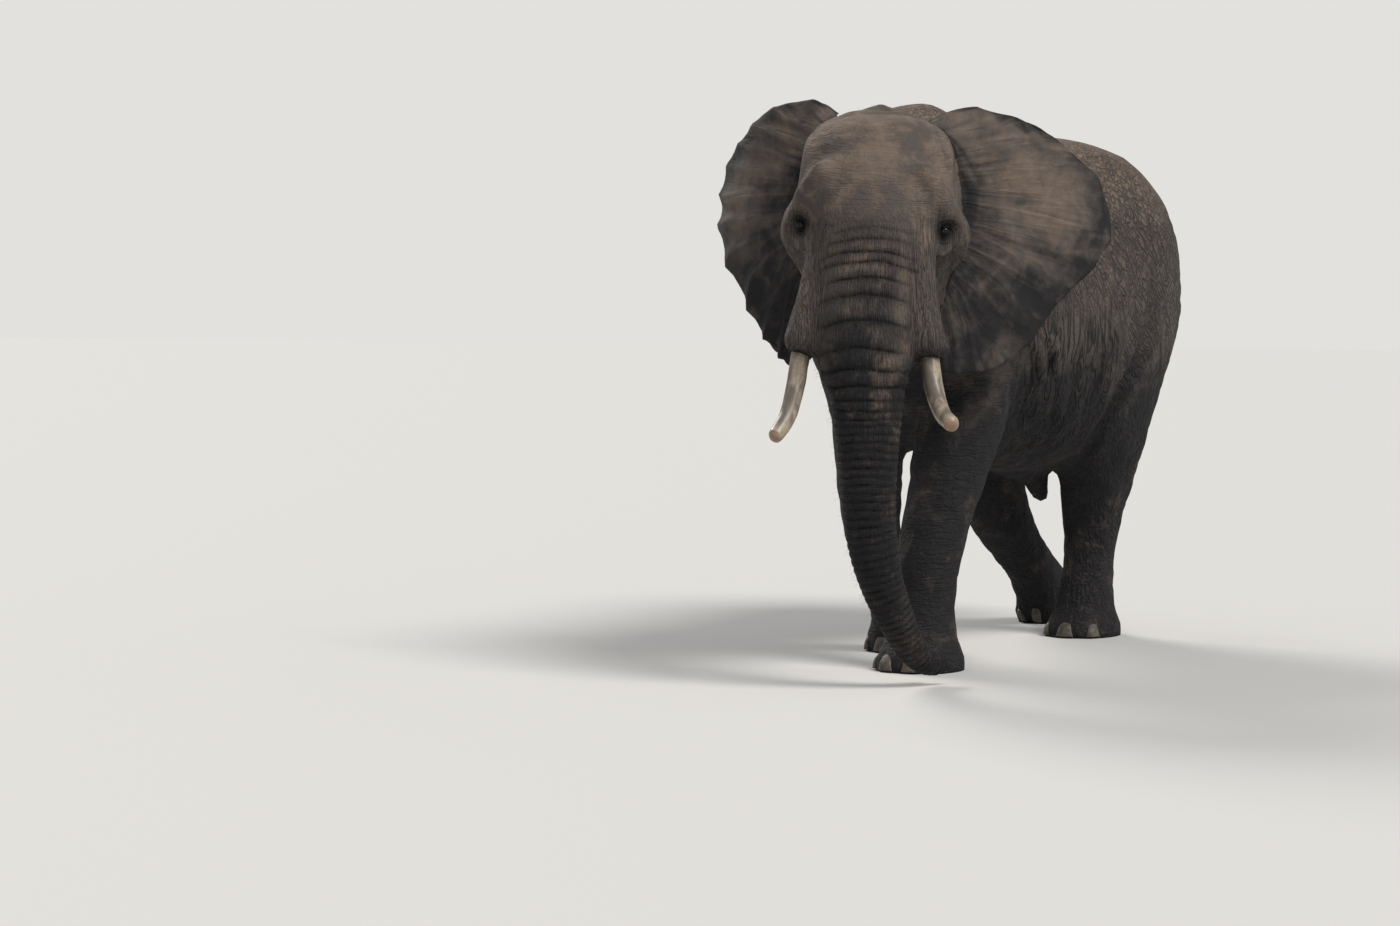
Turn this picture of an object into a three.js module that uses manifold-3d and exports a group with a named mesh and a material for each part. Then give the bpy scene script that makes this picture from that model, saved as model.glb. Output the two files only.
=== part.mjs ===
// African bush elephant bull, a still life-size model in mid stride.
// Millimetres. It faces -Y, its left side is +X, and +Z is up.
// The body is modelled round the point on the floor below the withers. At the end the
// group is moved so that its origin is the centre of its footprint on the floor.
import * as THREE from 'three';
import { mergeVertices } from 'three/addons/utils/BufferGeometryUtils.js';
import { LoftGeometry } from 'three/addons/geometries/LoftGeometry.js';
import Module from 'manifold-3d';

const wasm = await Module();
wasm.setup();

// ---------------------------------------------------------------- driving dimensions

const GAP = 0.4; // left between neighbouring pieces
const HEAD_YAW = 24; // degrees the head is turned to its left
const HEAD_ROLL = 2.5; // degrees its left side hangs lower
const EYE_MIDPOINT = [385, -1150, 2310]; // midway between the eyes
const EYE_RADIUS = 27;
const EYE_DEPTH = 14; // from the hide to the eye's centre
const TUSK_RADIUS = 48;
const EAR_THICKNESS = [26, 12]; // at the root and at the edge
const EAR_ROOT_SWELL = 50;
const SOLE_LEVEL = 0;

// How round the sections are: 2 is an ellipse, more is squarer.
const ROUND = { leg: 2.15, belly: 2.15, head: 2.3, withers: 1.75, rump: 2.4 };
// Widths over which the masses run into each other.
const SOFT = {
  shoulder: 130, hip: 160, leg: 140, neck: 200, sheath: 60, head: 110, muzzle: 130, trunk: 60, tail: 70,
};

// Trunk of the body. Each row: y, top z, bottom z, half width.
const TORSO = [
  [-820, 2560, 2060, 60],
  [-740, 2780, 1800, 320],
  [-450, 2890, 1480, 450],
  [-100, 2950, 1270, 540],
  [300, 2950, 1130, 605],
  [750, 2915, 1030, 670],
  [1200, 2885, 965, 712],
  [1600, 2890, 985, 734],
  [1950, 2866, 1170, 730],
  [2250, 2715, 1490, 636],
  [2420, 2450, 1860, 390],
  [2500, 2250, 2040, 60],
];

// Legs. Each row: z, centre x, centre y, half width, half depth, from the floor up.
const LEGS = {
  foreleg_left: [
    [0, 298, -428, 226, 236],
    [60, 298, -426, 224, 234],
    [200, 298, -402, 174, 184],
    [380, 300, -372, 152, 162],
    [600, 306, -338, 166, 178],
    [900, 334, -234, 182, 206],
    [1200, 362, -120, 206, 282],
    [1450, 385, -25, 202, 305],
    [1650, 395, -20, 195, 315],
    [1900, 400, -50, 175, 330],
    [2300, 380, -20, 120, 260],
  ],
  foreleg_right: [
    [0, -215, 450, 222, 230],
    [60, -216, 448, 220, 228],
    [200, -230, 415, 170, 180],
    [380, -262, 335, 144, 154],
    [600, -300, 205, 144, 152],
    [900, -322, 190, 165, 186],
    [1200, -325, 175, 172, 222],
    [1500, -345, 140, 178, 262],
    [1900, -375, 20, 172, 320],
    [2300, -380, 0, 120, 260],
  ],
  hindleg_left: [
    [0, 265, 1745, 205, 245],
    [60, 265, 1747, 203, 242],
    [200, 264, 1775, 156, 182],
    [430, 268, 1812, 142, 154],
    [650, 284, 1818, 160, 176],
    [900, 332, 1775, 200, 248],
    [1200, 390, 1730, 240, 340],
    [1500, 420, 1750, 255, 400],
    [1900, 430, 1820, 250, 400],
    [2300, 400, 1850, 200, 300],
  ],
  hindleg_right: [
    [0, -250, 2345, 160, 105],
    [60, -250, 2378, 192, 175],
    [150, -252, 2395, 180, 232],
    [270, -255, 2270, 155, 240],
    [400, -262, 2085, 147, 245],
    [590, -275, 1835, 166, 250],
    [760, -300, 1715, 184, 265],
    [900, -325, 1670, 203, 290],
    [1200, -375, 1700, 235, 340],
    [1500, -410, 1790, 255, 390],
    [1900, -430, 1850, 250, 390],
    [2300, -400, 1850, 200, 300],
  ],
};

// Head, in its own frame: the eyes' midpoint is zero. Each row: z, front y, back y, half width.
const CRANIUM = [
  [-700, 60, 190, 100],
  [-600, 0, 300, 215],
  [-450, -70, 430, 290],
  [-300, -120, 530, 345],
  [-150, -150, 610, 395],
  [0, -180, 640, 425],
  [200, -190, 640, 415],
  [370, -125, 610, 402],
  [470, -50, 570, 350],
  [560, 60, 460, 245],
  [604, 180, 350, 80],
];
const MUZZLE = [
  [-760, -470, -90, 205],
  [-600, -462, 40, 235],
  [-450, -435, 80, 250],
  [-300, -400, 120, 262],
  [-150, -362, 160, 275],
  [0, -322, 200, 288],
  [150, -270, 220, 285],
  [280, -205, 220, 240],
  [360, -130, 180, 160],
  [400, -40, 120, 60],
];

// Trunk, in a frame that turns with the head but hangs plumb. Each row: x, y, z, radius.
const TRUNK = [
  [-10, -255, 1760, 205],
  [-10, -310, 1640, 204],
  [-8, -350, 1450, 180],
  [-5, -372, 1270, 161],
  [-2, -382, 1080, 145],
  [6, -380, 900, 134],
  [28, -362, 700, 121],
  [72, -322, 520, 107],
  [136, -262, 350, 92],
  [198, -190, 215, 79],
  [262, -110, 135, 69],
  [325, -40, 112, 62],
];

// ---------------------------------------------------------------- shape functions

const { clamp, degToRad, lerp, smoothstep } = THREE.MathUtils;

// A smooth curve through the rows of a table, as a function from the first column to the others.
function smoothTable(rows) {
  const sorted = [...rows].sort((a, b) => a[0] - b[0]);
  const columns = sorted[0].length - 1;
  const slope = (i, c) => {
    const [a, b] = [sorted[Math.max(i - 1, 0)], sorted[Math.min(i + 1, sorted.length - 1)]];
    return (b[c] - a[c]) / (b[0] - a[0]);
  };
  return (at) => {
    const t = clamp(at, sorted[0][0], sorted.at(-1)[0]);
    let i = 0;
    while (i < sorted.length - 2 && sorted[i + 1][0] < t) i += 1;
    const [a, b] = [sorted[i], sorted[i + 1]];
    const span = b[0] - a[0];
    const u = (t - a[0]) / span;
    return Array.from({ length: columns }, (_, n) => {
      const c = n + 1;
      return (1 + 2 * u) * (1 - u) ** 2 * a[c] + u * (1 - u) ** 2 * span * slope(i, c)
        + u * u * (3 - 2 * u) * b[c] + u * u * (u - 1) * span * slope(i + 1, c);
    });
  };
}

// Distances are negative inside. join() and carve() round the seam over a width.
function join(a, b, width) {
  const h = Math.max(width - Math.abs(a - b), 0) / width;
  return Math.min(a, b) - h * h * width / 4;
}
const carve = (a, b, width) => -join(-a, b, width);

// How far a point is outside a rounded section, u and v from its centre.
function section(u, v, halfU, halfV, squareness) {
  const reach = Math.hypot(u, v);
  if (reach < 1e-6) return -Math.min(halfU, halfV);
  const n = (Math.abs(u / halfU) ** squareness + Math.abs(v / halfV) ** squareness) ** (1 / squareness);
  return reach * (1 - 1 / n);
}

const beyond = (value, low, high) => Math.max(low - value, value - high, 0);

function ball(p, centre, radii) {
  const [x, y, z] = [0, 1, 2].map((i) => (p[i] - centre[i]) / radii[i]);
  return (Math.hypot(x, y, z) - 1) * Math.min(...radii);
}

// A chain of tapering rods. Each knot: x, y, z, radius.
function rods(p, knots) {
  let best = Infinity;
  for (let i = 1; i < knots.length; i += 1) {
    const [a, b] = [knots[i - 1], knots[i]];
    const [dx, dy, dz] = [b[0] - a[0], b[1] - a[1], b[2] - a[2]];
    const [px, py, pz] = [p[0] - a[0], p[1] - a[1], p[2] - a[2]];
    const t = clamp((px * dx + py * dy + pz * dz) / (dx * dx + dy * dy + dz * dz), 0, 1);
    const away = Math.hypot(px - dx * t, py - dy * t, pz - dz * t);
    best = Math.min(best, away - (a[3] + (b[3] - a[3]) * t));
  }
  return best;
}

const torsoAt = smoothTable(TORSO);
const WIDEST = 0.43; // of the torso's height
const BACK = [400, 1700]; // the back rounds from the withers' ridge to the rump between these

function torso([x, y, z]) {
  const [top, bottom, halfWidth] = torsoAt(y);
  const waist = bottom + WIDEST * (top - bottom);
  const half = z > waist ? top - waist : waist - bottom;
  const back = lerp(ROUND.withers, ROUND.rump, smoothstep(y, ...BACK));
  const off = section(x, z - waist, halfWidth, half, z > waist ? back : ROUND.belly);
  return off + beyond(y, TORSO[0][0], TORSO.at(-1)[0]);
}

const legsAt = Object.fromEntries(Object.entries(LEGS).map(([name, rows]) => [name, smoothTable(rows)]));
const LEG_REACH = [-400, 2300]; // from under the floor, so that the soles are cut flat

function leg(name, [x, y, z]) {
  const [centreX, centreY, halfWidth, halfDepth] = legsAt[name](z);
  return section(x - centreX, y - centreY, halfWidth, halfDepth, ROUND.leg) + beyond(z, ...LEG_REACH);
}

// Points of the head's frame and of the hanging trunk's frame.
const plumb = new THREE.Matrix4().makeRotationZ(degToRad(HEAD_YAW))
  .setPosition(...EYE_MIDPOINT);
const headPlace = plumb.clone()
  .multiply(new THREE.Matrix4().makeRotationY(degToRad(HEAD_ROLL)));
const headInverse = headPlace.clone().invert();
const fromHead = (x, y, z) => new THREE.Vector3(x, y, z).applyMatrix4(headPlace).toArray();
const toHead = (p) => new THREE.Vector3(...p).applyMatrix4(headInverse).toArray();
const trunkKnots = TRUNK.map(([x, y, z, radius]) => [
  ...new THREE.Vector3(x, y, 0).applyMatrix4(plumb).setZ(z).toArray(), radius]);

const craniumAt = smoothTable(CRANIUM);
const muzzleAt = smoothTable(MUZZLE);

// A mass that stands upright in the head's frame.
function upright([x, y, z], tableAt, rows) {
  const [front, back, halfWidth] = tableAt(z);
  const low = Math.min(rows[0][0], rows.at(-1)[0]);
  const high = Math.max(rows[0][0], rows.at(-1)[0]);
  return section(x, y - (front + back) / 2, halfWidth, (back - front) / 2, ROUND.head)
    + beyond(z, low, high);
}

// Masses and hollows of the face's left half, in the head's frame, each with its softness.
const FACE = [
  { ball: [[360, 190, -30], [115, 175, 140]], soft: 110 }, // cheekbone
  { rods: [[265, -165, 275, 40], [345, -85, 150, 46], [372, 0, 62, 40]], soft: 90 }, // brow
  { rods: [[205, -90, -60, 95], [262, -205, -400, 98], [294, -240, -560, 104]], soft: 70 }, // tusk root
  { rods: [[215, 400, -330, 150], [95, 130, -610, 105], [0, -20, -830, 78]], soft: 60 }, // jaw
];
const HOLLOWS = [
  { centre: [520, 250, 300], radii: [110, 150, 150], soft: 120 }, // temple
  { centre: [455, 20, -270], radii: [120, 120, 150], soft: 120 }, // cheek
  { centre: [436, -30, -20], radii: [52, 62, 50], soft: 50 }, // eye
];

function head(p) {
  const q = toHead(p);
  const m = [Math.abs(q[0]), q[1], q[2]]; // the two halves are alike
  let d = join(upright(q, craniumAt, CRANIUM), upright(q, muzzleAt, MUZZLE), SOFT.muzzle);
  FACE.forEach((mass) => {
    d = join(d, mass.ball ? ball(m, ...mass.ball) : rods(m, mass.rods), mass.soft);
  });
  HOLLOWS.forEach(({ centre, radii, soft }) => { d = carve(d, ball(m, centre, radii), soft); });
  return d;
}

const NECK = [
  [[0, 60, 2545, 370], [...fromHead(0, 330, 170), 350]],
  [[0, -250, 2020, 430], [...fromHead(0, 330, -220), 300]],
];
const SHOULDERS = [
  [[150, -10, 2925, 120], [330, -140, 2500, 215], [420, -230, 1960, 190]],
  [[-140, 20, 2890, 95], [-330, -60, 2500, 215], [-410, -60, 1960, 190]],
];
const HIPS = [1, -1].map((side) => [[330 * side, 1640, 2600, 150], [480 * side, 1800, 2300, 200]]);
const TAIL = [
  [0, 2410, 2300, 95], [2, 2510, 2255, 72], [5, 2590, 2170, 56], [12, 2640, 2060, 46], [24, 2665, 1900, 38],
  [45, 2665, 1600, 28], [60, 2640, 1200, 20],
];
const TAIL_TUFT = [
  [60, 2640, 1260, 22], [62, 2638, 1200, 30], [66, 2636, 1100, 46], [72, 2630, 950, 42], [76, 2626, 800, 12],
];
const SHEATH = [[0, 1350, 1060, 140], [10, 1580, 962, 92], [22, 1676, 812, 42]];

// All the flesh but the sheath.
function body(p) {
  let d = torso(p);
  SHOULDERS.forEach((knots) => { d = join(d, rods(p, knots), SOFT.shoulder); });
  HIPS.forEach((knots) => { d = join(d, rods(p, knots), SOFT.hip); });
  Object.keys(LEGS).forEach((name) => { d = join(d, leg(name, p), SOFT.leg); });
  NECK.forEach((knots) => { d = join(d, rods(p, knots), SOFT.neck); });
  d = join(d, head(p), SOFT.head);
  d = join(d, rods(p, trunkKnots), SOFT.trunk);
  return join(d, rods(p, TAIL), SOFT.tail);
}

const flesh = (p) => join(body(p), rods(p, SHEATH), SOFT.sheath);

// ---------------------------------------------------------------- solids

function toManifold(geometry) {
  const bare = new THREE.BufferGeometry();
  bare.setAttribute('position', geometry.attributes.position);
  bare.setIndex(geometry.index);
  const merged = mergeVertices(bare, 1e-3);
  return new wasm.Manifold(new wasm.Mesh({
    numProp: 3,
    vertProperties: Float32Array.from(merged.attributes.position.array),
    triVerts: Uint32Array.from(merged.index.array),
  }));
}

function toGeometry(solid) {
  const mesh = solid.getMesh();
  const geometry = new THREE.BufferGeometry();
  geometry.setAttribute('position', new THREE.BufferAttribute(mesh.vertProperties, 3));
  geometry.setIndex(new THREE.BufferAttribute(mesh.triVerts, 1));
  geometry.computeVertexNormals();
  return geometry;
}

// Moves a point along the field's slope until it lies at a level.
function settle(point, field, level, limit) {
  const start = [...point];
  const h = 2;
  for (let turn = 0; turn < 4; turn += 1) {
    const value = field(point) - level;
    const slope = [0, 1, 2].map((i) => {
      const [a, b] = [[...point], [...point]];
      a[i] -= h;
      b[i] += h;
      return (field(b) - field(a)) / (2 * h);
    });
    const steep = Math.max(slope[0] ** 2 + slope[1] ** 2 + slope[2] ** 2, 0.05);
    for (let i = 0; i < 3; i += 1) point[i] -= value * slope[i] / steep;
  }
  return Math.hypot(...point.map((v, i) => v - start[i])) > limit ? start : point;
}

// Every place of a lattice.
function* places(nx, ny, nz) {
  for (let k = 0; k < nz; k += 1) {
    for (let j = 0; j < ny; j += 1) {
      for (let i = 0; i < nx; i += 1) yield [i, j, k];
    }
  }
}

// Fills the outer corner of each lattice square whose corners alternate in and out, as the
// surface would touch itself there.
function fillSaddles(values, [nx, ny, nz], at) {
  const squares = [[[1, 0, 0], [0, 1, 0]], [[0, 1, 0], [0, 0, 1]], [[0, 0, 1], [1, 0, 0]]];
  for (let filled = true; filled;) {
    filled = false;
    for (const [i, j, k] of places(nx - 1, ny - 1, nz - 1)) {
      for (const [u, v] of squares) {
        const ring = [[0, 0], [1, 0], [1, 1], [0, 1]].map(([m, n]) => (
          at(i + m * u[0] + n * v[0], j + m * u[1] + n * v[1], k + m * u[2] + n * v[2])));
        const inside = ring.map((n) => values[n] < 0);
        if (inside[0] !== inside[2] || inside[1] !== inside[3] || inside[0] === inside[1]) continue;
        const outer = inside[0] ? [ring[1], ring[3]] : [ring[0], ring[2]];
        values[values[outer[0]] < values[outer[1]] ? outer[0] : outer[1]] = -1;
        filled = true;
      }
    }
  }
}

// The solid inside a field, meshed with one vertex in each lattice cell that its surface crosses.
function solidOf(field, { low, high, step }, level = 0, frame = new THREE.Matrix4()) {
  const cells = low.map((v, i) => Math.ceil((high[i] - v) / step[i]));
  const [nx, ny, nz] = cells.map((n) => n + 1);
  const at = (i, j, k) => (k * ny + j) * nx + i;
  const place = (i, j, k) => [low[0] + i * step[0], low[1] + j * step[1], low[2] + k * step[2]];
  const values = new Float64Array(nx * ny * nz);
  for (const [i, j, k] of places(nx, ny, nz)) {
    const edge = i === 0 || j === 0 || k === 0 || i === nx - 1 || j === ny - 1 || k === nz - 1;
    const value = field(place(i, j, k)) - level;
    values[at(i, j, k)] = edge ? Math.max(value, 1) : value;
  }
  fillSaddles(values, [nx, ny, nz], at);
  const corners = [0, 1, 2, 3, 4, 5, 6, 7].map((n) => [n & 1, (n >> 1) & 1, (n >> 2) & 1]);
  const edges = [];
  corners.forEach((a, m) => corners.slice(m + 1).forEach((b) => {
    if (a.filter((v, c) => v !== b[c]).length === 1) edges.push([a, b]);
  }));
  const points = [];
  const vertexOf = new Map();
  for (const [i, j, k] of places(nx - 1, ny - 1, nz - 1)) {
    const sum = [0, 0, 0];
    let crossings = 0;
    for (const [a, b] of edges) {
      const va = values[at(i + a[0], j + a[1], k + a[2])];
      const vb = values[at(i + b[0], j + b[1], k + b[2])];
      if ((va < 0) === (vb < 0)) continue;
      const t = va / (va - vb);
      for (let c = 0; c < 3; c += 1) sum[c] += a[c] + (b[c] - a[c]) * t;
      crossings += 1;
    }
    if (!crossings) continue;
    const spot = sum.map((v, c) => low[c] + ([i, j, k][c] + v / crossings) * step[c]);
    const inner = [i, j, k].every((n, c) => n > 0 && n < cells[c] - 1);
    vertexOf.set(at(i, j, k), points.length);
    points.push(inner ? settle(spot, field, level, 0.8 * Math.max(...step)) : spot);
  }
  const triangles = [];
  const axes = [[1, 0, 0], [0, 1, 0], [0, 0, 1]];
  const quad = (a, b, c, d) => {
    const span = (m, n) => Math.hypot(...points[m].map((v, i) => v - points[n][i]));
    if (span(a, c) < span(b, d)) triangles.push(a, b, c, a, c, d);
    else triangles.push(a, b, d, b, c, d);
  };
  for (const [i, j, k] of places(nx - 1, ny - 1, nz - 1)) {
    axes.forEach(([ex, ey, ez], n) => {
      const [va, vb] = [values[at(i, j, k)], values[at(i + ex, j + ey, k + ez)]];
      if ((va < 0) === (vb < 0)) return;
      const [u, v] = [axes[(n + 1) % 3], axes[(n + 2) % 3]];
      const cell = (a, b) => vertexOf.get(
        at(i - a * u[0] - b * v[0], j - a * u[1] - b * v[1], k - a * u[2] - b * v[2]),
      );
      const ring = [cell(1, 1), cell(0, 1), cell(0, 0), cell(1, 0)];
      quad(...(va < 0 ? ring : ring.reverse()));
    });
  }
  const geometry = new THREE.BufferGeometry();
  geometry.setAttribute('position', new THREE.Float32BufferAttribute(points.flat(), 3));
  geometry.setIndex(triangles);
  return toManifold(geometry.applyMatrix4(frame));
}

// ---------------------------------------------------------------- cutting the flesh into pieces

const HUGE = 12000;
const UP = new THREE.Vector3(0, 0, 1);

// All that lies behind a plane, half a gap away from it. The normal points out of the solid.
function behind(point, normal, gap = GAP / 2) {
  const out = new THREE.Vector3(...normal).normalize();
  const box = new THREE.BoxGeometry(HUGE, HUGE, HUGE);
  box.translate(0, 0, -HUGE / 2 - gap);
  box.applyQuaternion(new THREE.Quaternion().setFromUnitVectors(UP, out));
  return toManifold(box.translate(...point));
}

function block(low, high) {
  const size = high.map((v, i) => v - low[i]);
  return toManifold(new THREE.BoxGeometry(...size).translate(...low.map((v, i) => v + size[i] / 2)));
}

// A plane with its two sides, given in the body's frame or in the head's.
const plane = (point, normal) => ({ point, normal });
const headPlane = (point, normal) => plane(
  fromHead(...point),
  new THREE.Vector3(...normal).transformDirection(headPlace).toArray(),
);
const under = ({ point, normal }, gap) => behind(point, normal, gap);
const over = ({ point, normal }, gap) => behind(point, normal.map((v) => -v), gap);

const both = (...solids) => solids.reduce((a, b) => a.intersect(b));

// Normals point forward or up, so that the piece in front of or above a plane is over it.
const NECK_BASE = plane([0, -330, 2300], [0, -1, 0.35]);
const NECK_TOP = headPlane([0, 500, 0], [0, -1, 0.08]);
const TRUNK_TOP = headPlane([0, -300, -700], [0, 0.12, 1]);
const MOUTH_FRONT = headPlane([0, -100, -700], [0, -1, 0.05]);
const MOUTH_TOP = headPlane([0, -100, -640], [0, 0.4, 1]);
const TRUNK_CUTS = [1180, 740, 370].map((z) => {
  const i = trunkKnots.findIndex((knot) => knot[2] < z);
  const [a, b] = [trunkKnots[i - 1], trunkKnots[i]];
  const t = (a[2] - z) / (a[2] - b[2]);
  return plane([0, 1, 2].map((c) => a[c] + (b[c] - a[c]) * t), [0, 1, 2].map((c) => a[c] - b[c]));
});
const FLOOR = plane([0, 0, SOLE_LEVEL], [0, 0, 1]);
const ANKLE = plane([0, 0, 350], [0, 0, 1]);
const TAIL_ROOT = plane([0, 2552, 2200], [0, -1, 0]);
const TAIL_END = plane([60, 2640, 1235], [0, 0, 1]);
const SHEATH_BLOCK = [[-120, 1290, 0], [120, 1790, 1030]];

// The wedge that holds a leg: below a slanting plane, inside a block of the body.
const LEG_WEDGES = {
  foreleg_left: {
    top: plane([50, -400, 1215], [-0.5, 0.45, 1]),
    box: [[25, -1000, -900], [1200, 340, 2400]],
  },
  foreleg_right: {
    top: plane([-50, -150, 1180], [0.5, 0.35, 1]),
    box: [[-1200, -400, -900], [-25, 690, 2400]],
  },
  hindleg_left: {
    top: plane([100, 1400, 1010], [-0.33, -0.5, 1]),
    box: [[0.5, 1290, -900], [1200, 2700, 2400]],
  },
  hindleg_right: {
    top: plane([-100, 1400, 1010], [0.33, -0.5, 1]),
    box: [[-1200, 1290, -900], [-0.5, 2900, 2400]],
  },
};

const grownBlock = ([low, high], gap) => block(low.map((v) => v - gap), high.map((v) => v + gap));
const sheathRegion = (gap) => grownBlock(SHEATH_BLOCK, gap);
const wedge = (name, gap) => both(under(LEG_WEDGES[name].top, -gap), grownBlock(LEG_WEDGES[name].box, gap));

// ---------------------------------------------------------------- ears, tusks, eyes and nails

// Ear outlines, from the top of the root round the edge to its foot: how far out, how high.
const EAR_EDGES = {
  left: [
    [0, 585], [265, 656], [600, 612], [850, 474], [1072, 266], [1152, 48], [1020, -122],
    [762, -320], [572, -562], [395, -690], [215, -722], [88, -708], [10, -610],
  ],
  right: [
    [0, 606], [165, 650], [460, 604], [695, 475], [918, 326], [1046, 122], [912, -104],
    [723, -362], [540, -543], [358, -664], [208, -742], [89, -726], [10, -610],
  ],
};
const EAR_ROOT = { top: [235, 400, 560], foot: [330, 330, -400] };
const EARS = {
  left: { side: 1, edge: EAR_EDGES.left, sweep: [10, 56], tuck: 0, trim: 0, wave: 0.3 },
  right: { side: -1, edge: EAR_EDGES.right, sweep: [20, 86], tuck: 0.28, trim: 0.08, wave: 1.9 },
};

const EAR_FULL_SWEEP = 1080; // how far out the turn from the first to the last sweep is done
const EAR_RIPPLE = { height: 20, pace: 21 }; // of the edge, along its length
const EAR_CURL = { above: 420, slant: 0.3 }; // the top edge leans back
const EAR_LOBE = { below: 300, slant: 0.12 }; // the lobe hangs inward

// A point of an ear's middle surface in the head's frame. s runs round the edge, t from root to edge.
function earMiddle({ side, edge: knots, sweep, tuck, trim, wave }, s, t) {
  const edge = new THREE.SplineCurve(knots.map(([u, v]) => new THREE.Vector2(u, v))).getPoint(s);
  const [rootX, rootY, rootZ] = EAR_ROOT.top.map((v, i) => lerp(v, EAR_ROOT.foot[i], s));
  const up = rootZ + (edge.y - rootZ) * t ** 1.15;
  const narrowing = tuck * smoothstep(-up, -50, 450) + trim * smoothstep(up, 150, 450);
  const out = edge.x * t * (1 - narrowing);
  const [first, last] = sweep.map(degToRad);
  const turn = (last - first) / EAR_FULL_SWEEP;
  const x = (Math.sin(first + turn * out) - Math.sin(first)) / turn;
  const y = (Math.cos(first) - Math.cos(first + turn * out)) / turn;
  const ripple = EAR_RIPPLE.height * t ** 3 * Math.sin(s * EAR_RIPPLE.pace + wave);
  const curl = EAR_CURL.slant * Math.max(up - EAR_CURL.above, 0) * t;
  const lobe = EAR_LOBE.slant * Math.max(-up - EAR_LOBE.below, 0);
  return [side * (rootX + x - lobe), rootY + y + ripple + curl, up];
}

const STEP = 0.01; // over which the sheet's slope is measured

// A closed sheet: its middle surface thickened.
function sheetSolid(middle, thickness, across, along) {
  const vectorAt = (s, t) => new THREE.Vector3(...middle(s, t));
  const points = [];
  [1, -1].forEach((face) => {
    for (const [j, i] of places(along + 1, across + 1, 1)) {
      const [s, t] = [i / across, j / along];
      const near = Math.max(t, 2 * STEP); // the root itself has no width
      const du = vectorAt(Math.min(s + STEP, 1), near).sub(vectorAt(Math.max(s - STEP, 0), near));
      const dv = vectorAt(s, Math.min(t + STEP, 1)).sub(vectorAt(s, Math.max(t - STEP, 0)));
      const normal = du.cross(dv).normalize();
      points.push(vectorAt(s, t).addScaledVector(normal, face * thickness(t) / 2));
    }
  });
  const half = (across + 1) * (along + 1);
  const at = (face, i, j) => face * half + i * (along + 1) + j;
  const triangles = [];
  const quad = (a, b, c, d) => triangles.push(a, b, c, a, c, d);
  for (const [i, j] of places(across, along, 1)) {
    quad(at(0, i, j), at(0, i + 1, j), at(0, i + 1, j + 1), at(0, i, j + 1));
    quad(at(1, i, j), at(1, i, j + 1), at(1, i + 1, j + 1), at(1, i + 1, j));
  }
  for (let i = 0; i < across; i += 1) {
    quad(at(0, i, 0), at(1, i, 0), at(1, i + 1, 0), at(0, i + 1, 0));
    quad(at(0, i + 1, along), at(1, i + 1, along), at(1, i, along), at(0, i, along));
  }
  for (let j = 0; j < along; j += 1) {
    quad(at(0, 0, j + 1), at(1, 0, j + 1), at(1, 0, j), at(0, 0, j));
    quad(at(0, across, j), at(1, across, j), at(1, across, j + 1), at(0, across, j + 1));
  }
  const geometry = new THREE.BufferGeometry();
  geometry.setAttribute('position', new THREE.Float32BufferAttribute(points.flatMap((v) => v.toArray()), 3));
  geometry.setIndex(triangles);
  const solid = toManifold(geometry);
  return solid.volume() > 0 ? solid : toManifold(flipped(geometry));
}

function flipped(geometry) {
  const index = geometry.index.array;
  for (let i = 0; i < index.length; i += 3) [index[i], index[i + 1]] = [index[i + 1], index[i]];
  return geometry;
}

const earThickness = (t) => lerp(...EAR_THICKNESS, t) + EAR_ROOT_SWELL * Math.exp(-t * 14);

function ear(name) {
  const shape = EARS[name];
  return sheetSolid((s, t) => fromHead(...earMiddle(shape, s, t)), earThickness, 16, 4);
}

// Tusk paths from inside the root to the tip, in the head's frame: out, y, z, radius.
const TUSKS = {
  left: [
    [292, -232, -530, 1.0], [325, -252, -640, 1.0], [358, -300, -790, 0.97], [404, -395, -900, 0.9],
    [454, -500, -948, 0.82], [465, -524, -956, 0.7], [469, -532, -959, 0.4],
  ],
  right: [
    [292, -232, -530, 1.0], [318, -252, -640, 1.0], [332, -298, -800, 0.97], [358, -372, -950, 0.9],
    [404, -452, -1046, 0.8], [414, -470, -1062, 0.68], [418, -477, -1068, 0.4],
  ],
};
const TUSK_SIDES = 8;
const TAIL_SIDES = 8;

// A tapering tube with flat ends. Each knot: x, y, z, radius.
function tube(knots, sides, grow = 0) {
  const centres = knots.map(([x, y, z]) => new THREE.Vector3(x, y, z));
  centres[0].addScaledVector(centres[0].clone().sub(centres[1]).normalize(), grow);
  const sections = centres.map((centre, i) => {
    const next = centres[Math.min(i + 1, centres.length - 1)];
    const along = next.clone().sub(centres[Math.max(i - 1, 0)]).normalize();
    const across = new THREE.Vector3(1, 0, 0).cross(along).normalize();
    const third = along.clone().cross(across);
    return Array.from({ length: sides }, (_, n) => {
      const turn = n / sides * 2 * Math.PI;
      return centre.clone().addScaledVector(across, Math.cos(turn) * (knots[i][3] + grow))
        .addScaledVector(third, Math.sin(turn) * (knots[i][3] + grow));
    });
  });
  return toManifold(new LoftGeometry(sections, { closed: true, capStart: true, capEnd: true }));
}

function tusk(side, grow = 0) {
  const sign = side === 'left' ? 1 : -1;
  const knots = TUSKS[side].map(([x, y, z, part]) => [...fromHead(sign * x, y, z), part * TUSK_RADIUS]);
  return tube(knots, TUSK_SIDES, grow);
}

// The distance from a point to the field's surface along a direction.
function reach(field, from, direction, limit) {
  let [low, high] = [0, limit];
  for (let turn = 0; turn < 30; turn += 1) {
    const middle = (low + high) / 2;
    if (field(from.map((v, i) => v + direction[i] * middle)) < 0) low = middle;
    else high = middle;
  }
  return low;
}

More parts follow.
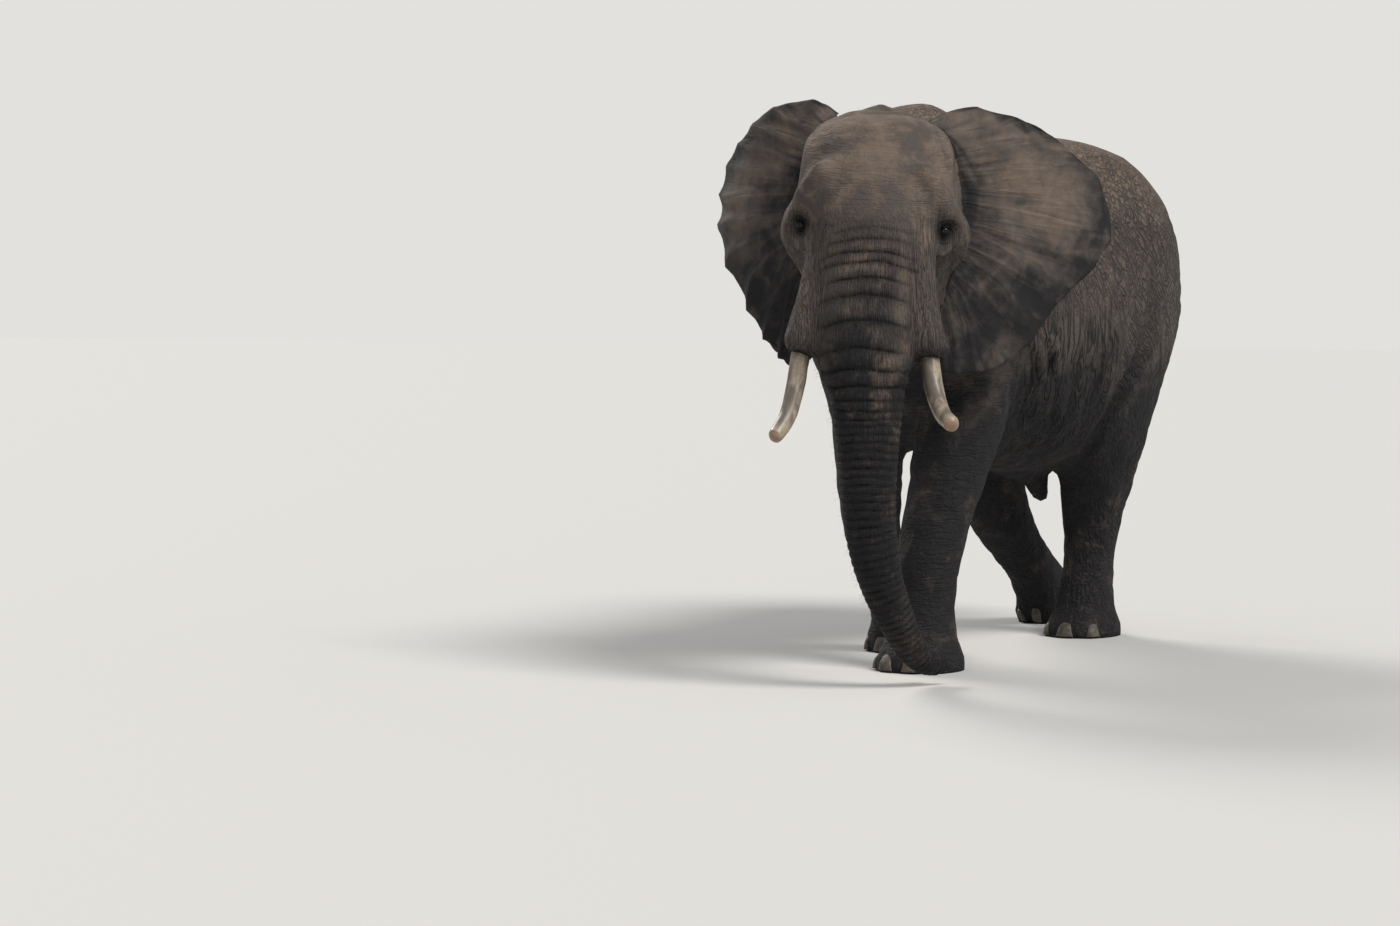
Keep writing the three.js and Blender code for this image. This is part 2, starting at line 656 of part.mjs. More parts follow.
function eyeCentre(side) {
  const sign = side === 'left' ? 1 : -1;
  const start = fromHead(sign * 200, 0, 0);
  const out = fromHead(sign * 1200, -250, 0).map((v, i) => v - start[i]);
  const length = Math.hypot(...out);
  const direction = out.map((v) => v / length);
  const depth = reach(flesh, start, direction, 400) - EYE_DEPTH;
  return start.map((v, i) => v + direction[i] * depth);
}

const eyeball = (side, grow = 0) => (
  toManifold(new THREE.SphereGeometry(EYE_RADIUS + grow, 8, 6).translate(...eyeCentre(side))));

// Nails stand round the front of a foot: angles from straight ahead, degrees.
const NAILS = {
  foreleg_left: [-62, -24, 14, 52], foreleg_right: [-52, -14, 24, 62],
  hindleg_left: [-42, -2, 38], hindleg_right: [-38, 2, 42],
};
const NAIL = { height: 62, halfWidth: 40, halfHeight: 44, halfDepth: 20 };

function nails(name) {
  return NAILS[name].map((degrees) => {
    const turn = degToRad(degrees);
    const [centreX, centreY] = legsAt[name](NAIL.height);
    const direction = [Math.sin(turn), -Math.cos(turn), 0];
    const from = [centreX, centreY, NAIL.height];
    const depth = reach((p) => leg(name, p), from, direction, 400) - 4;
    const shape = new THREE.SphereGeometry(1, 5, 4)
      .scale(NAIL.halfWidth, NAIL.halfDepth, NAIL.halfHeight).rotateZ(turn)
      .translate(...from.map((v, i) => v + direction[i] * depth));
    return toManifold(shape);
  });
}

// ---------------------------------------------------------------- the pieces

const HIDE = { color: 0x5e554d, roughness: 0.95, metalness: 0 };
const IVORY = { color: 0xcbb892, roughness: 0.45, metalness: 0 };
const EYE = { color: 0x2a1a10, roughness: 0.12, metalness: 0 };
const HAIR = { color: 0x1d1a18, roughness: 0.8, metalness: 0 };

const group = new THREE.Group();

function add(name, solid, finish) {
  const mesh = new THREE.Mesh(toGeometry(solid), new THREE.MeshStandardMaterial(finish));
  mesh.name = name;
  group.add(mesh);
}

// Lattices that the flesh is meshed on, each a little larger than its piece.
const TORSO_LATTICE = { low: [-1105, -870, 640], high: [1105, 2900, 3180], step: [184, 216, 176] };
const NECK_LATTICE = { low: [-700, -1320, 1180], high: [840, 190, 3200], step: [168, 168, 172] };
const HEAD_LATTICE = { low: [-736, -720, -1000], high: [736, 800, 780], step: [98, 101, 99] };
const JAW_LATTICE = { low: [-350, -280, -1060], high: [350, 640, -460], step: [70, 70, 66] };
const SHEATH_LATTICE = { low: [-200, 1210, 700], high: [200, 1870, 1150], step: [66, 66, 60] };
const LEG_LATTICES = {
  foreleg_left: { low: [-60, -820, 100], high: [900, 460, 1900], step: [105, 105, 160] },
  foreleg_right: { low: [-900, -500, 100], high: [60, 860, 1900], step: [105, 105, 160] },
  hindleg_left: { low: [-90, 1140, 100], high: [960, 2560, 2000], step: [122, 122, 160] },
  hindleg_right: { low: [-960, 1140, 100], high: [90, 2720, 2000], step: [124, 124, 160] },
};
const FOOT_STEP = [116, 116, 94];

const headField = (p) => flesh(fromHead(...p));
const meshInHead = (lattice, level = 0) => solidOf(headField, lattice, level, headPlace);
const trunkRegion = (gap) => both(under(TRUNK_TOP, gap), over(MOUTH_FRONT, gap));
const jawRegion = (gap) => both(under(MOUTH_TOP, gap), under(MOUTH_FRONT, gap));
const SIDES = ['left', 'right'];
const LEG_NAMES = Object.keys(LEGS);

function torsoPiece() {
  const solid = both(solidOf(body, TORSO_LATTICE), under(NECK_BASE), over(TAIL_ROOT));
  const cutters = [...LEG_NAMES.map((name) => wedge(name, GAP)), sheathRegion(GAP)];
  return cutters.reduce((rest, cutter) => rest.subtract(cutter), solid);
}

function headPiece() {
  const solid = meshInHead(HEAD_LATTICE).intersect(over(NECK_TOP));
  const cutters = [trunkRegion(-GAP / 2), jawRegion(-GAP / 2)];
  SIDES.forEach((side) => cutters.push(tusk(side, GAP), eyeball(side, GAP)));
  return cutters.reduce((rest, cutter) => rest.subtract(cutter), solid);
}

// The lattice round a stretch of trunk between two heights.
function trunkLattice(high, low, step) {
  const near = trunkKnots.filter((knot) => knot[2] < high + 260 && knot[2] > low - 260);
  const corner = (pick, sign) => [0, 1, 2].map((c) => (
    pick(...near.map((knot) => knot[c] + sign * (knot[3] + step[0])))));
  const [first, last] = [corner(Math.min, -1), corner(Math.max, 1)];
  return {
    low: [first[0], first[1], Math.max(first[2], low - 160)],
    high: [last[0], last[1], Math.min(last[2], high + 160)],
    step,
  };
}

function trunkPieces() {
  const levels = [1690, 1180, 740, 370, 0];
  const steps = [[80, 80, 118], [66, 66, 100], [56, 56, 86], [52, 52, 60]];
  return ['trunk_upper', 'trunk_middle', 'trunk_lower', 'trunk_tip'].map((name, i) => {
    let solid = solidOf(flesh, trunkLattice(levels[i], levels[i + 1], steps[i]));
    solid = i === 0 ? solid.intersect(trunkRegion(GAP / 2)) : solid.intersect(under(TRUNK_CUTS[i - 1]));
    if (i < TRUNK_CUTS.length) solid = solid.intersect(over(TRUNK_CUTS[i]));
    return [name, largest(solid)];
  });
}

const largest = (solid) => solid.decompose().sort((a, b) => b.volume() - a.volume())[0];

function legPieces(name) {
  const upper = both(solidOf(body, LEG_LATTICES[name]), wedge(name, 0), over(ANKLE))
    .subtract(sheathRegion(GAP));
  const [, centreX, centreY, halfWidth, halfDepth] = LEGS[name][2];
  const margin = 185;
  const around = {
    low: [centreX - halfWidth - margin, centreY - halfDepth - margin, -190],
    high: [centreX + halfWidth + margin, centreY + halfDepth + margin, 540],
    step: FOOT_STEP,
  };
  const foot = both(solidOf(flesh, around), under(ANKLE), over(FLOOR, 0));
  const withNails = nails(name).reduce((whole, nail) => whole.add(nail), largest(foot));
  return [[name, largest(upper)], [name.replace('leg', 'foot'), withNails]];
}

add('torso', largest(torsoPiece()), HIDE);
add('neck', largest(both(solidOf(flesh, NECK_LATTICE), over(NECK_BASE), under(NECK_TOP))), HIDE);
add('head', largest(headPiece()), HIDE);
add('jaw', largest(meshInHead(JAW_LATTICE).intersect(jawRegion(GAP / 2))), HIDE);
trunkPieces().forEach(([name, solid]) => add(name, solid, HIDE));
const nearHead = meshInHead(HEAD_LATTICE, GAP).add(solidOf(flesh, NECK_LATTICE, GAP));
SIDES.forEach((side) => {
  add(`ear_${side}`, largest(ear(side).subtract(nearHead)), HIDE);
  add(`tusk_${side}`, tusk(side), IVORY);
  add(`eye_${side}`, eyeball(side), EYE);
});
LEG_NAMES.forEach((name) => legPieces(name).forEach(([piece, solid]) => add(piece, solid, HIDE)));
add('sheath', largest(solidOf(flesh, SHEATH_LATTICE).intersect(sheathRegion(0))), HIDE);
add('tail', both(tube(TAIL, TAIL_SIDES), under(TAIL_ROOT), over(TAIL_END)), HIDE);
add('tail_tuft', tube(TAIL_TUFT, TAIL_SIDES).intersect(under(TAIL_END)), HAIR);

// The origin goes to the centre of the footprint, on the floor.
const bounds = new THREE.Box3().setFromObject(group, true);
const middle = bounds.getCenter(new THREE.Vector3());
group.position.set(-middle.x, -middle.y, -bounds.min.z);

export default group;
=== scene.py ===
"""African bush elephant bull, a still life-size model: its hide, eyes, tusks, nails and hair.

Metres. The hide is modelled in the body's frame, whose origin is the point on the floor below
the withers. It faces -Y, its left side is +X, and +Z is up. Tables are in millimetres.
"""

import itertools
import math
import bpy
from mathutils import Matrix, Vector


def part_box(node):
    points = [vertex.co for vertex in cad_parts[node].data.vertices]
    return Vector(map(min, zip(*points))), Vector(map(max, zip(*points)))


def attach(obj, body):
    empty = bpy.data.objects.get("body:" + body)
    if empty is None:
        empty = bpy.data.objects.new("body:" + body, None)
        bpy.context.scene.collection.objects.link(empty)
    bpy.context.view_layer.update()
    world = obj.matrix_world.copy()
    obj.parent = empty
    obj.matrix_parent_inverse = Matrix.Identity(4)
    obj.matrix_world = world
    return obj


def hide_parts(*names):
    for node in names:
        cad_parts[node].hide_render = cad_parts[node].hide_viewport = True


bl_info = {
    "name": "Elephant bull",
    "version": (1, 0, 0),
    "blender": (4, 5, 0),
    "location": "3D View > Sidebar > Elephant",
    "description": "Dresses the elephant's solids in hide, eyes, tusks, nails and hair",
    "category": "Object",
}

from functools import partial

import bmesh
import bpy
import numpy as np
import openvdb
from mathutils import Euler, Matrix, Vector

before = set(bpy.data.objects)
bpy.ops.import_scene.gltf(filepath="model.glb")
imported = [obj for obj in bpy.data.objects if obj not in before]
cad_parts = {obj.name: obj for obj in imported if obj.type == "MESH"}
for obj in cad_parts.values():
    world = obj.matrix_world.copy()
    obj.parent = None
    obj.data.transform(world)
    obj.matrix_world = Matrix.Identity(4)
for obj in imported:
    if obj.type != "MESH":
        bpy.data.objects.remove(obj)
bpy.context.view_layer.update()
MM = 0.001

# ---------------------------------------------------------------- shape tables

HEAD_YAW = math.radians(24)  # turned to its left
HEAD_ROLL = math.radians(2.5)  # its left side hangs lower
EYE_MIDPOINT = np.array([0.385, -1.150, 2.310])

# Trunk of the body. Each row: y, top z, bottom z, half width.
TORSO = [
    (-820, 2560, 2060, 60), (-740, 2780, 1800, 320), (-450, 2890, 1480, 450),
    (-100, 2950, 1270, 540), (300, 2950, 1130, 605), (750, 2915, 1030, 670),
    (1200, 2885, 965, 712), (1600, 2890, 985, 734), (1950, 2866, 1170, 730),
    (2250, 2715, 1490, 636), (2420, 2450, 1860, 390), (2500, 2250, 2040, 60),
]
WIDEST = 0.43  # of the torso's height

# Legs. Each row: z, centre x, centre y, half width, half depth.
LEGS = {
    "foreleg_left": [
        (0, 298, -428, 226, 236), (60, 298, -426, 224, 234), (200, 298, -402, 174, 184),
        (380, 300, -372, 152, 162), (600, 306, -338, 166, 178), (900, 334, -234, 182, 206),
        (1200, 362, -120, 206, 282), (1450, 385, -25, 202, 305), (1650, 395, -20, 195, 315),
        (1900, 400, -50, 175, 330), (2300, 380, -20, 120, 260),
    ],
    "foreleg_right": [
        (0, -215, 450, 222, 230), (60, -216, 448, 220, 228), (200, -230, 415, 170, 180),
        (380, -262, 335, 144, 154), (600, -300, 205, 144, 152), (900, -322, 190, 165, 186),
        (1200, -325, 175, 172, 222), (1500, -345, 140, 178, 262), (1900, -375, 20, 172, 320),
        (2300, -380, 0, 120, 260),
    ],
    "hindleg_left": [
        (0, 265, 1745, 205, 245), (60, 265, 1747, 203, 242), (200, 264, 1775, 156, 182),
        (430, 268, 1812, 142, 154), (650, 284, 1818, 160, 176), (900, 332, 1775, 200, 248),
        (1200, 390, 1730, 240, 340), (1500, 420, 1750, 255, 400), (1900, 430, 1820, 250, 400),
        (2300, 400, 1850, 200, 300),
    ],
    "hindleg_right": [
        (0, -250, 2345, 160, 105), (60, -250, 2378, 192, 175), (150, -252, 2395, 180, 232),
        (270, -255, 2270, 155, 240), (400, -262, 2085, 147, 245), (590, -275, 1835, 166, 250),
        (760, -300, 1715, 184, 265), (900, -325, 1670, 203, 290), (1200, -375, 1700, 235, 340),
        (1500, -410, 1790, 255, 390), (1900, -430, 1850, 250, 390), (2300, -400, 1850, 200, 300),
    ],
}

LEG_BOTTOM, LEG_TOP = -0.4, 2.3  # the legs run on below the floor, where they are cut

# Head, round the eyes' midpoint. Each row: z, front y, back y, half width.
CRANIUM = [
    (-700, 60, 190, 100), (-600, 0, 300, 215), (-450, -70, 430, 290), (-300, -120, 530, 345),
    (-150, -150, 610, 395), (0, -180, 640, 425), (200, -190, 640, 415), (370, -125, 610, 402),
    (470, -50, 570, 350), (560, 60, 460, 245), (604, 180, 350, 80),
]
MUZZLE = [
    (-760, -470, -90, 205), (-600, -462, 40, 235), (-450, -435, 80, 250), (-300, -400, 120, 262),
    (-150, -362, 160, 275), (0, -322, 200, 288), (150, -270, 220, 285), (280, -205, 220, 240),
    (360, -130, 180, 160), (400, -40, 120, 60),
]
# Trunk, turned with the head but hanging plumb. Each row: x, y, z, radius.
TRUNK = [
    (-10, -255, 1760, 205), (-10, -310, 1640, 204), (-8, -350, 1450, 180), (-5, -372, 1270, 161),
    (-2, -382, 1080, 145), (6, -380, 900, 134), (28, -362, 700, 121), (72, -322, 520, 107),
    (136, -262, 350, 92), (198, -190, 215, 79), (262, -110, 135, 69), (325, -40, 112, 62),
]
SHOULDERS = [
    [(150, -10, 2925, 120), (330, -140, 2500, 215), (420, -230, 1960, 190)],
    [(-140, 20, 2890, 95), (-330, -60, 2500, 215), (-410, -60, 1960, 190)],
]
HIPS = [[(330 * side, 1640, 2600, 150), (480 * side, 1800, 2300, 200)] for side in (1, -1)]
TAIL = [
    (0, 2410, 2300, 95), (2, 2510, 2255, 72), (5, 2590, 2170, 56), (12, 2640, 2060, 46),
    (24, 2665, 1900, 38), (45, 2665, 1600, 28), (60, 2640, 1200, 20),
]
SHEATH = [(0, 1350, 1060, 140), (10, 1580, 962, 92), (22, 1676, 812, 42)]
# The face's forms, each on both sides of the head: knots x, y, z, radius and the seam's width.
FACE_RODS = [
    ([(265, -165, 275, 40), (345, -85, 150, 46), (372, 0, 62, 40)], 90),  # brow
    ([(205, -90, -60, 95), (262, -205, -400, 98), (294, -240, -560, 104)], 70),  # tusk root
    ([(215, 400, -330, 150), (95, 130, -610, 105), (0, -20, -830, 78)], 60),  # jaw
]
CHEEKBONE = ((360, 190, -30), (115, 175, 140), 110)
# Hollows of the temple, the cheek and the eye: centre, radii and the seam's width.
HOLLOWS = [
    ((520, 250, 300), (110, 150, 150), 120), ((455, 20, -270), (120, 120, 150), 120),
    ((436, -30, -20), (52, 62, 50), 50),
]

# Ear outlines, from the top of the root round the edge to its foot: how far out, how high.
EAR_EDGES = {
    "left": np.array([
        (0, 585), (265, 656), (600, 612), (850, 474), (1072, 266), (1152, 48), (1020, -122),
        (762, -320), (572, -562), (395, -690), (215, -722), (88, -708), (10, -610),
    ]) * MM,
    "right": np.array([
        (0, 606), (165, 650), (460, 604), (695, 475), (918, 326), (1046, 122), (912, -104),
        (723, -362), (540, -543), (358, -664), (208, -742), (89, -726), (10, -610),
    ]) * MM,
}
EAR_TOP = np.array([235, 400, 560]) * MM
EAR_FOOT = np.array([330, 330, -400]) * MM
EARS = {
    "left": dict(side=1, edge=EAR_EDGES["left"], sweep=(10, 56), tuck=0.0, trim=0.0, wave=0.3,
                 folds=0.35),
    "right": dict(side=-1, edge=EAR_EDGES["right"], sweep=(20, 86), tuck=0.28, trim=0.08, wave=1.9,
                  folds=1.0),
}

# Tusks in the head's frame, from inside the root to the tip: out, y, z, share of the radius.
TUSKS = {
    "left": [
        (292, -232, -530, 1.0), (325, -252, -640, 1.0), (358, -300, -790, 0.97),
        (404, -395, -900, 0.9), (454, -500, -948, 0.82), (465, -524, -956, 0.7),
        (469, -532, -959, 0.4),
    ],
    "right": [
        (292, -232, -530, 1.0), (318, -252, -640, 1.0), (332, -298, -800, 0.97),
        (358, -372, -950, 0.9), (404, -452, -1046, 0.8), (414, -470, -1062, 0.68),
        (418, -477, -1068, 0.4),
    ],
}
TUSK_RADIUS = 0.048
TUSK_SIDES = 40
TUSK_TIP = 0.05  # length of the tip that has closer rings
TUSK_END = 0.04  # length over which the tip rounds off
HAIR_PATCH = 0.003  # how wide a hair's patch is on the unwrap

# Long folds of the loose skin, alike on both sides: half width, depth, and where each runs.
FOLDS = [
    (48, 26, [(738, 1574, 1839), (733, 1510, 1732), (701, 1413, 1536), (668, 1339, 1439),
              (599, 1316, 1293), (513, 1332, 1169), (389, 1431, 1027)]),
    (32, 13, [(612, 355, 1826), (613, 438, 1696), (600, 545, 1553), (560, 671, 1391), (472, 812, 1220)]),
    (32, 13, [(598, 278, 1778), (582, 363, 1616), (538, 434, 1451), (449, 497, 1285)]),
    (36, 12, [(594, 210, 1733), (586, 139, 1582), (572, 81, 1402)]),
]
FOLD_STEPS = 60
# Where the hide is drawn a little way: a place in the head's frame, how far it is drawn, its reach.
CROWN_SIDE = ((140, 130, 576), (0, 0, 14), 85)
EAR_CORNER = ((235, 445, 604), (-6, 0, -30), 40)
PULLS = {
    "left": [
        ((378, -300, -585), (40, 0, -6), 52), ((300, -290, -665), (0, -4, 16), 50),  # round the tusk
        ((20, 205, 622), (0, 0, -16), 60), CROWN_SIDE, EAR_CORNER,
    ],
    "right": [((376, -300, -590), (16, 0, -10), 50), CROWN_SIDE, EAR_CORNER],
}

# Nails stand round the front of a foot: angles from straight ahead, degrees.
NAILS = {
    "foreleg_left": (-62, -24, 14, 52), "foreleg_right": (-52, -14, 24, 62),
    "hindleg_left": (-42, -2, 38), "hindleg_right": (-38, 2, 42),
}
NAIL_TOP, NAIL_FOOT = 0.098, 0.010
NAIL_HALF_WIDTH = 0.046
FOOT_RADIUS = 0.21

# ---------------------------------------------------------------- fields


def smooth_table(rows):
    """A smooth curve through a table's rows, from the first column to the others."""
    rows = np.array(sorted(rows), float) * MM
    at, values = rows[:, 0], rows[:, 1:]
    count = len(at)
    before, after = np.maximum(np.arange(count) - 1, 0), np.minimum(np.arange(count) + 1, count - 1)
    slope = (values[after] - values[before]) / (at[after] - at[before])[:, None]

    def look_up(x):
        x = np.clip(x, at[0], at[-1])
        i = np.clip(np.searchsorted(at, x) - 1, 0, count - 2)
        span = (at[i + 1] - at[i])[..., None]
        u = (x - at[i])[..., None] / span
        value = ((1 + 2 * u) * (1 - u) ** 2 * values[i] + u * (1 - u) ** 2 * span * slope[i]
                 + u * u * (3 - 2 * u) * values[i + 1] + u * u * (u - 1) * span * slope[i + 1])
        return np.moveaxis(value, -1, 0)

    return look_up


def join(a, b, width):
    """The nearer of two distances, with a fillet of a width. Distances are negative inside."""
    h = np.maximum(width - np.abs(a - b), 0) / width
    return np.minimum(a, b) - h * h * width / 4


def carve(a, b, width):
    """The first solid less the second, with a rounded edge of a width."""
    return -join(-a, b, width)


def section(u, v, half_u, half_v, squareness):
    """About how far points lie outside a rounded section, negative inside."""
    reach = np.maximum(np.hypot(u, v), 1e-9)
    n = (np.abs(u / half_u) ** squareness + np.abs(v / half_v) ** squareness) ** (1 / squareness)
    return reach * (1 - 1 / np.maximum(n, 1e-9))


def beyond(value, low, high):
    """How far a value lies outside a range."""
    return np.maximum(np.maximum(low - value, value - high), 0)


def ball(p, centre, radii):
    radii = np.array(radii) * MM
    return (np.linalg.norm((p - np.array(centre) * MM) / radii, axis=1) - 1) * radii.min()


def rods(p, knots):
    """The distance to a chain of tapering rods. Each knot: x, y, z, radius."""
    best = np.full(len(p), np.inf)
    knots = np.array(knots, float) * MM
    for a, b in zip(knots[:-1], knots[1:]):
        along = b[:3] - a[:3]
        t = np.clip((p - a[:3]) @ along / (along @ along), 0, 1)
        away = np.linalg.norm(p - a[:3] - t[:, None] * along, axis=1)
        best = np.minimum(best, away - (a[3] + (b[3] - a[3]) * t))
    return best


def turned(rotation):
    """The axes and the origin of a frame at the eyes' midpoint."""
    place = Matrix.Translation(Vector(EYE_MIDPOINT)) @ rotation
    return np.array(place.to_3x3()), np.array(place.translation)


HEAD_TURN, HEAD_AT = turned(Matrix.Rotation(HEAD_YAW, 4, "Z") @ Matrix.Rotation(HEAD_ROLL, 4, "Y"))
PLUMB_TURN, PLUMB_AT = turned(Matrix.Rotation(HEAD_YAW, 4, "Z"))


def from_head(q):
    return np.asarray(q, float) @ HEAD_TURN.T + HEAD_AT


def to_head(p):
    return (np.asarray(p, float) - HEAD_AT) @ HEAD_TURN


def trunk_knots():
    """The trunk's centre line and radius in the body's frame, in millimetres."""
    rows = np.array(TRUNK, float) * MM
    places = np.c_[rows[:, :2], np.zeros(len(rows))] @ PLUMB_TURN.T + PLUMB_AT
    places[:, 2] = rows[:, 2]
    return np.c_[places, rows[:, 3]] / MM


TRUNK_KNOTS = trunk_knots()
NECK = [
    [(0, 60, 2545, 370), (*from_head((0, 0.330, 0.170)) / MM, 350)],
    [(0, -250, 2020, 430), (*from_head((0, 0.330, -0.220)) / MM, 300)],
]
torso_at = smooth_table(TORSO)
legs_at = {name: smooth_table(rows) for name, rows in LEGS.items()}
cranium_at, muzzle_at = smooth_table(CRANIUM), smooth_table(MUZZLE)


def torso(p):
    x, y, z = p.T
    top, bottom, half_width = torso_at(y)
    waist = bottom + WIDEST * (top - bottom)
    upper = z > waist
    half = np.where(upper, top - waist, waist - bottom)
    back = 1.75 + 0.65 * ease(y, 0.4, 1.7)  # a ridge at the withers, broad at the rump
    off = section(x, z - waist, half_width, half, np.where(upper, back, 2.15))
    return off + beyond(y, TORSO[0][0] * MM, TORSO[-1][0] * MM)


def leg(p, name):
    x, y, z = p.T
    centre_x, centre_y, half_width, half_depth = legs_at[name](z)
    off = section(x - centre_x, y - centre_y, half_width, half_depth, 2.15)
    return off + beyond(z, LEG_BOTTOM, LEG_TOP)


def upright(q, table_at, rows):
    """The distance to a form that is a stack of level sections."""
    x, y, z = q.T
    front, back, half_width = table_at(z)
    heights = [row[0] * MM for row in rows]
    off = section(x, y - (front + back) / 2, half_width, (back - front) / 2, 2.3)
    return off + beyond(z, min(heights), max(heights))


def head(p):
    q = to_head(p)
    m = np.c_[np.abs(q[:, 0]), q[:, 1:]]
    d = join(upright(q, cranium_at, CRANIUM), upright(q, muzzle_at, MUZZLE), 0.130)
    centre, radii, width = CHEEKBONE
    d = join(d, ball(m, centre, radii), width * MM)
    for knots, width in FACE_RODS:
        d = join(d, rods(m, knots), width * MM)
    for centre, radii, width in HOLLOWS:
        d = carve(d, ball(m, centre, radii), width * MM)
    return d


def rod_box(knots):
    """The box that holds a chain of rods."""
    knots = np.array(knots, float) * MM
    return (knots[:, :3] - knots[:, 3:]).min(0), (knots[:, :3] + knots[:, 3:]).max(0)


def leg_box(name):
    rows = np.array(LEGS[name], float) * MM
    low = [(rows[:, 1] - rows[:, 3]).min(), (rows[:, 2] - rows[:, 4]).min(), LEG_BOTTOM]
    high = [(rows[:, 1] + rows[:, 3]).max(), (rows[:, 2] + rows[:, 4]).max(), LEG_TOP]
    return np.array(low), np.array(high)


def chain(knots, width):
    """A chain of rods as a form of the flesh: its field, its seam's width and its box."""
    return partial(rods, knots=knots), width, rod_box(knots)


HEAD_BOX = (EYE_MIDPOINT - (0.75, 0.75, 1.0), EYE_MIDPOINT + (0.75, 1.0, 0.65))
# The forms of the flesh after the torso: field, seam width and box.
FORMS = [
    *(chain(knots, 0.130) for knots in SHOULDERS), *(chain(knots, 0.160) for knots in HIPS),
    *((partial(leg, name=name), 0.140, leg_box(name)) for name in LEGS),
    *(chain(knots, 0.200) for knots in NECK), chain(SHEATH, 0.060), (head, 0.110, HEAD_BOX),
    chain(TRUNK_KNOTS, 0.060), chain(TAIL[:3], 0.070),
]
NEAR = 0.08  # how far from the surface the field is exact


def flesh(p):
    """The distance to the whole body without ears, tail's end, tusks and nails."""
    d = torso(p)
    for field, width, (low, high) in FORMS:
        margin = width + NEAR
        inside = ((p > low - margin) & (p < high + margin)).all(1)
        d[inside] = join(d[inside], field(p[inside]), width)
    return d


def slope(field, p, h=0.003):
    """A field's gradient and its value, from four places round each point."""
    corners = np.array([(1, 1, 1), (1, -1, -1), (-1, 1, -1), (-1, -1, 1)]) * h
    values = [field(p + corner) for corner in corners]
    return sum(v[:, None] * c for v, c in zip(values, corners)) / (4 * h * h), sum(values) / 4


def settle(p, field=flesh, turns=2):
    """Moves points along the field's slope to its surface."""
    for _ in range(turns):
        rise, value = slope(field, p)
        p = p - (value / np.maximum((rise * rise).sum(1), 0.05))[:, None] * rise
    return p


# ---------------------------------------------------------------- noise and masks


def noise(p, seed=0):
    """Smooth noise at points, about -1 to 1."""
    steps = np.random.default_rng(seed)
    gradients = units(steps.normal(size=(256, 3)))
    order = steps.permutation(256)
    cell = np.floor(p).astype(int)
    part = p - cell
    blend = part ** 3 * (part * (part * 6 - 15) + 10)
    total = np.zeros(len(p))
    for corner in itertools.product((0, 1), repeat=3):
        x, y, z = ((cell + corner) & 255).T
        gradient = gradients[order[(order[(order[x] + y) & 255] + z) & 255]]
        weight = np.prod(np.where(corner, blend, 1 - blend), axis=1)
        total += weight * ((part - corner) * gradient).sum(1)
    return total * 1.8


def layered(p, seed=0, layers=3):
    return sum(noise(p * 2 ** i, seed + i) / 2 ** i for i in range(layers)) / 1.6


def billow(p, seed=0, sharp=0.7):
    """Rounded bulges with narrow creases between them, 0 to 1."""
    return np.minimum(np.abs(noise(p, seed)) * 1.6, 1) ** sharp


def ease(value, low, high):
    """Runs smoothly from 0 to 1 while a value goes from low to high."""
    t = np.clip((value - low) / (high - low), 0, 1)
    return t * t * (3 - 2 * t)


def bump(value, centre, half):
    """1 at the centre, and next to nothing two half widths away."""
    return np.exp(-((value - centre) / half) ** 2)


# ---------------------------------------------------------------- meshes


def mesh_from(name, points, faces):
    mesh = bpy.data.meshes.new(name)
    mesh.from_pydata(np.asarray(points).tolist(), [], [list(map(int, f)) for f in faces])
    mesh.validate()
    return mesh


def triples(items, name):
    flat = np.empty(len(items) * 3)
    items.foreach_get(name, flat)
    return flat.reshape(-1, 3)


def points_of(mesh):
    return triples(mesh.vertices, "co")


def normals_of(mesh):
    return triples(mesh.vertices, "normal")


def set_points(mesh, points):
    mesh.vertices.foreach_set("co", np.asarray(points, np.float32).ravel())
    mesh.update()


def store(mesh, name, values):
    attribute = mesh.attributes.get(name) or mesh.attributes.new(name, "FLOAT", "POINT")
    attribute.data.foreach_set("value", np.asarray(values, np.float32))


def stored(mesh, name):
    values = np.zeros(len(mesh.vertices), np.float32)
    if name in mesh.attributes:
        mesh.attributes[name].data.foreach_get("value", values)
    return values


def edges_of(mesh):
    flat = np.empty(len(mesh.edges) * 2, int)
    mesh.edges.foreach_get("vertices", flat)
    return flat.reshape(-1, 2)


def smoothed(points, edges, weight, turns):
    """Draws points towards the middle of their neighbours, by a weight for each point."""
    count = np.bincount(edges.ravel(), minlength=len(points))[:, None]
    for _ in range(turns):
        total = np.zeros_like(points)
        for axis in range(3):
            total[:, axis] = np.bincount(edges[:, 0], points[edges[:, 1], axis], len(points))
            total[:, axis] += np.bincount(edges[:, 1], points[edges[:, 0], axis], len(points))
        points = points + (total / np.maximum(count, 1) - points) * weight[:, None]
    return points


def add_object(name, mesh):
    piece = bpy.data.objects.new(name, mesh)
    bpy.context.scene.collection.objects.link(piece)
    return piece


def surface_of(field, low, high, step):
    """The surface of a field as quads, from a lattice that is fine only near the surface."""
    rough = 4
    low = np.array(low)
    count = np.ceil((np.array(high) - low) / step).astype(int) + 1
    coarse_count = count // rough + 2

    def places(numbers, spacing):
        grid = np.meshgrid(*[low[i] + spacing * np.arange(numbers[i]) for i in range(3)],
                           indexing="ij")
        return np.stack([g.ravel() for g in grid], axis=1)

    coarse = field(places(coarse_count, step * rough)).reshape(coarse_count)
    nearest = [np.rint(np.arange(count[i]) / rough).astype(int) for i in range(3)]
    values = coarse[np.ix_(*nearest)].ravel()
    near = np.abs(values) < step * rough * 1.3
    values[near] = field(places(count, step)[near])
    grid = openvdb.FloatGrid(background=1.0)
    grid.copyFromArray(values.reshape(count).astype(np.float32))
    points, quads = grid.convertToQuads(isovalue=0.0)
    return points * step + low, quads


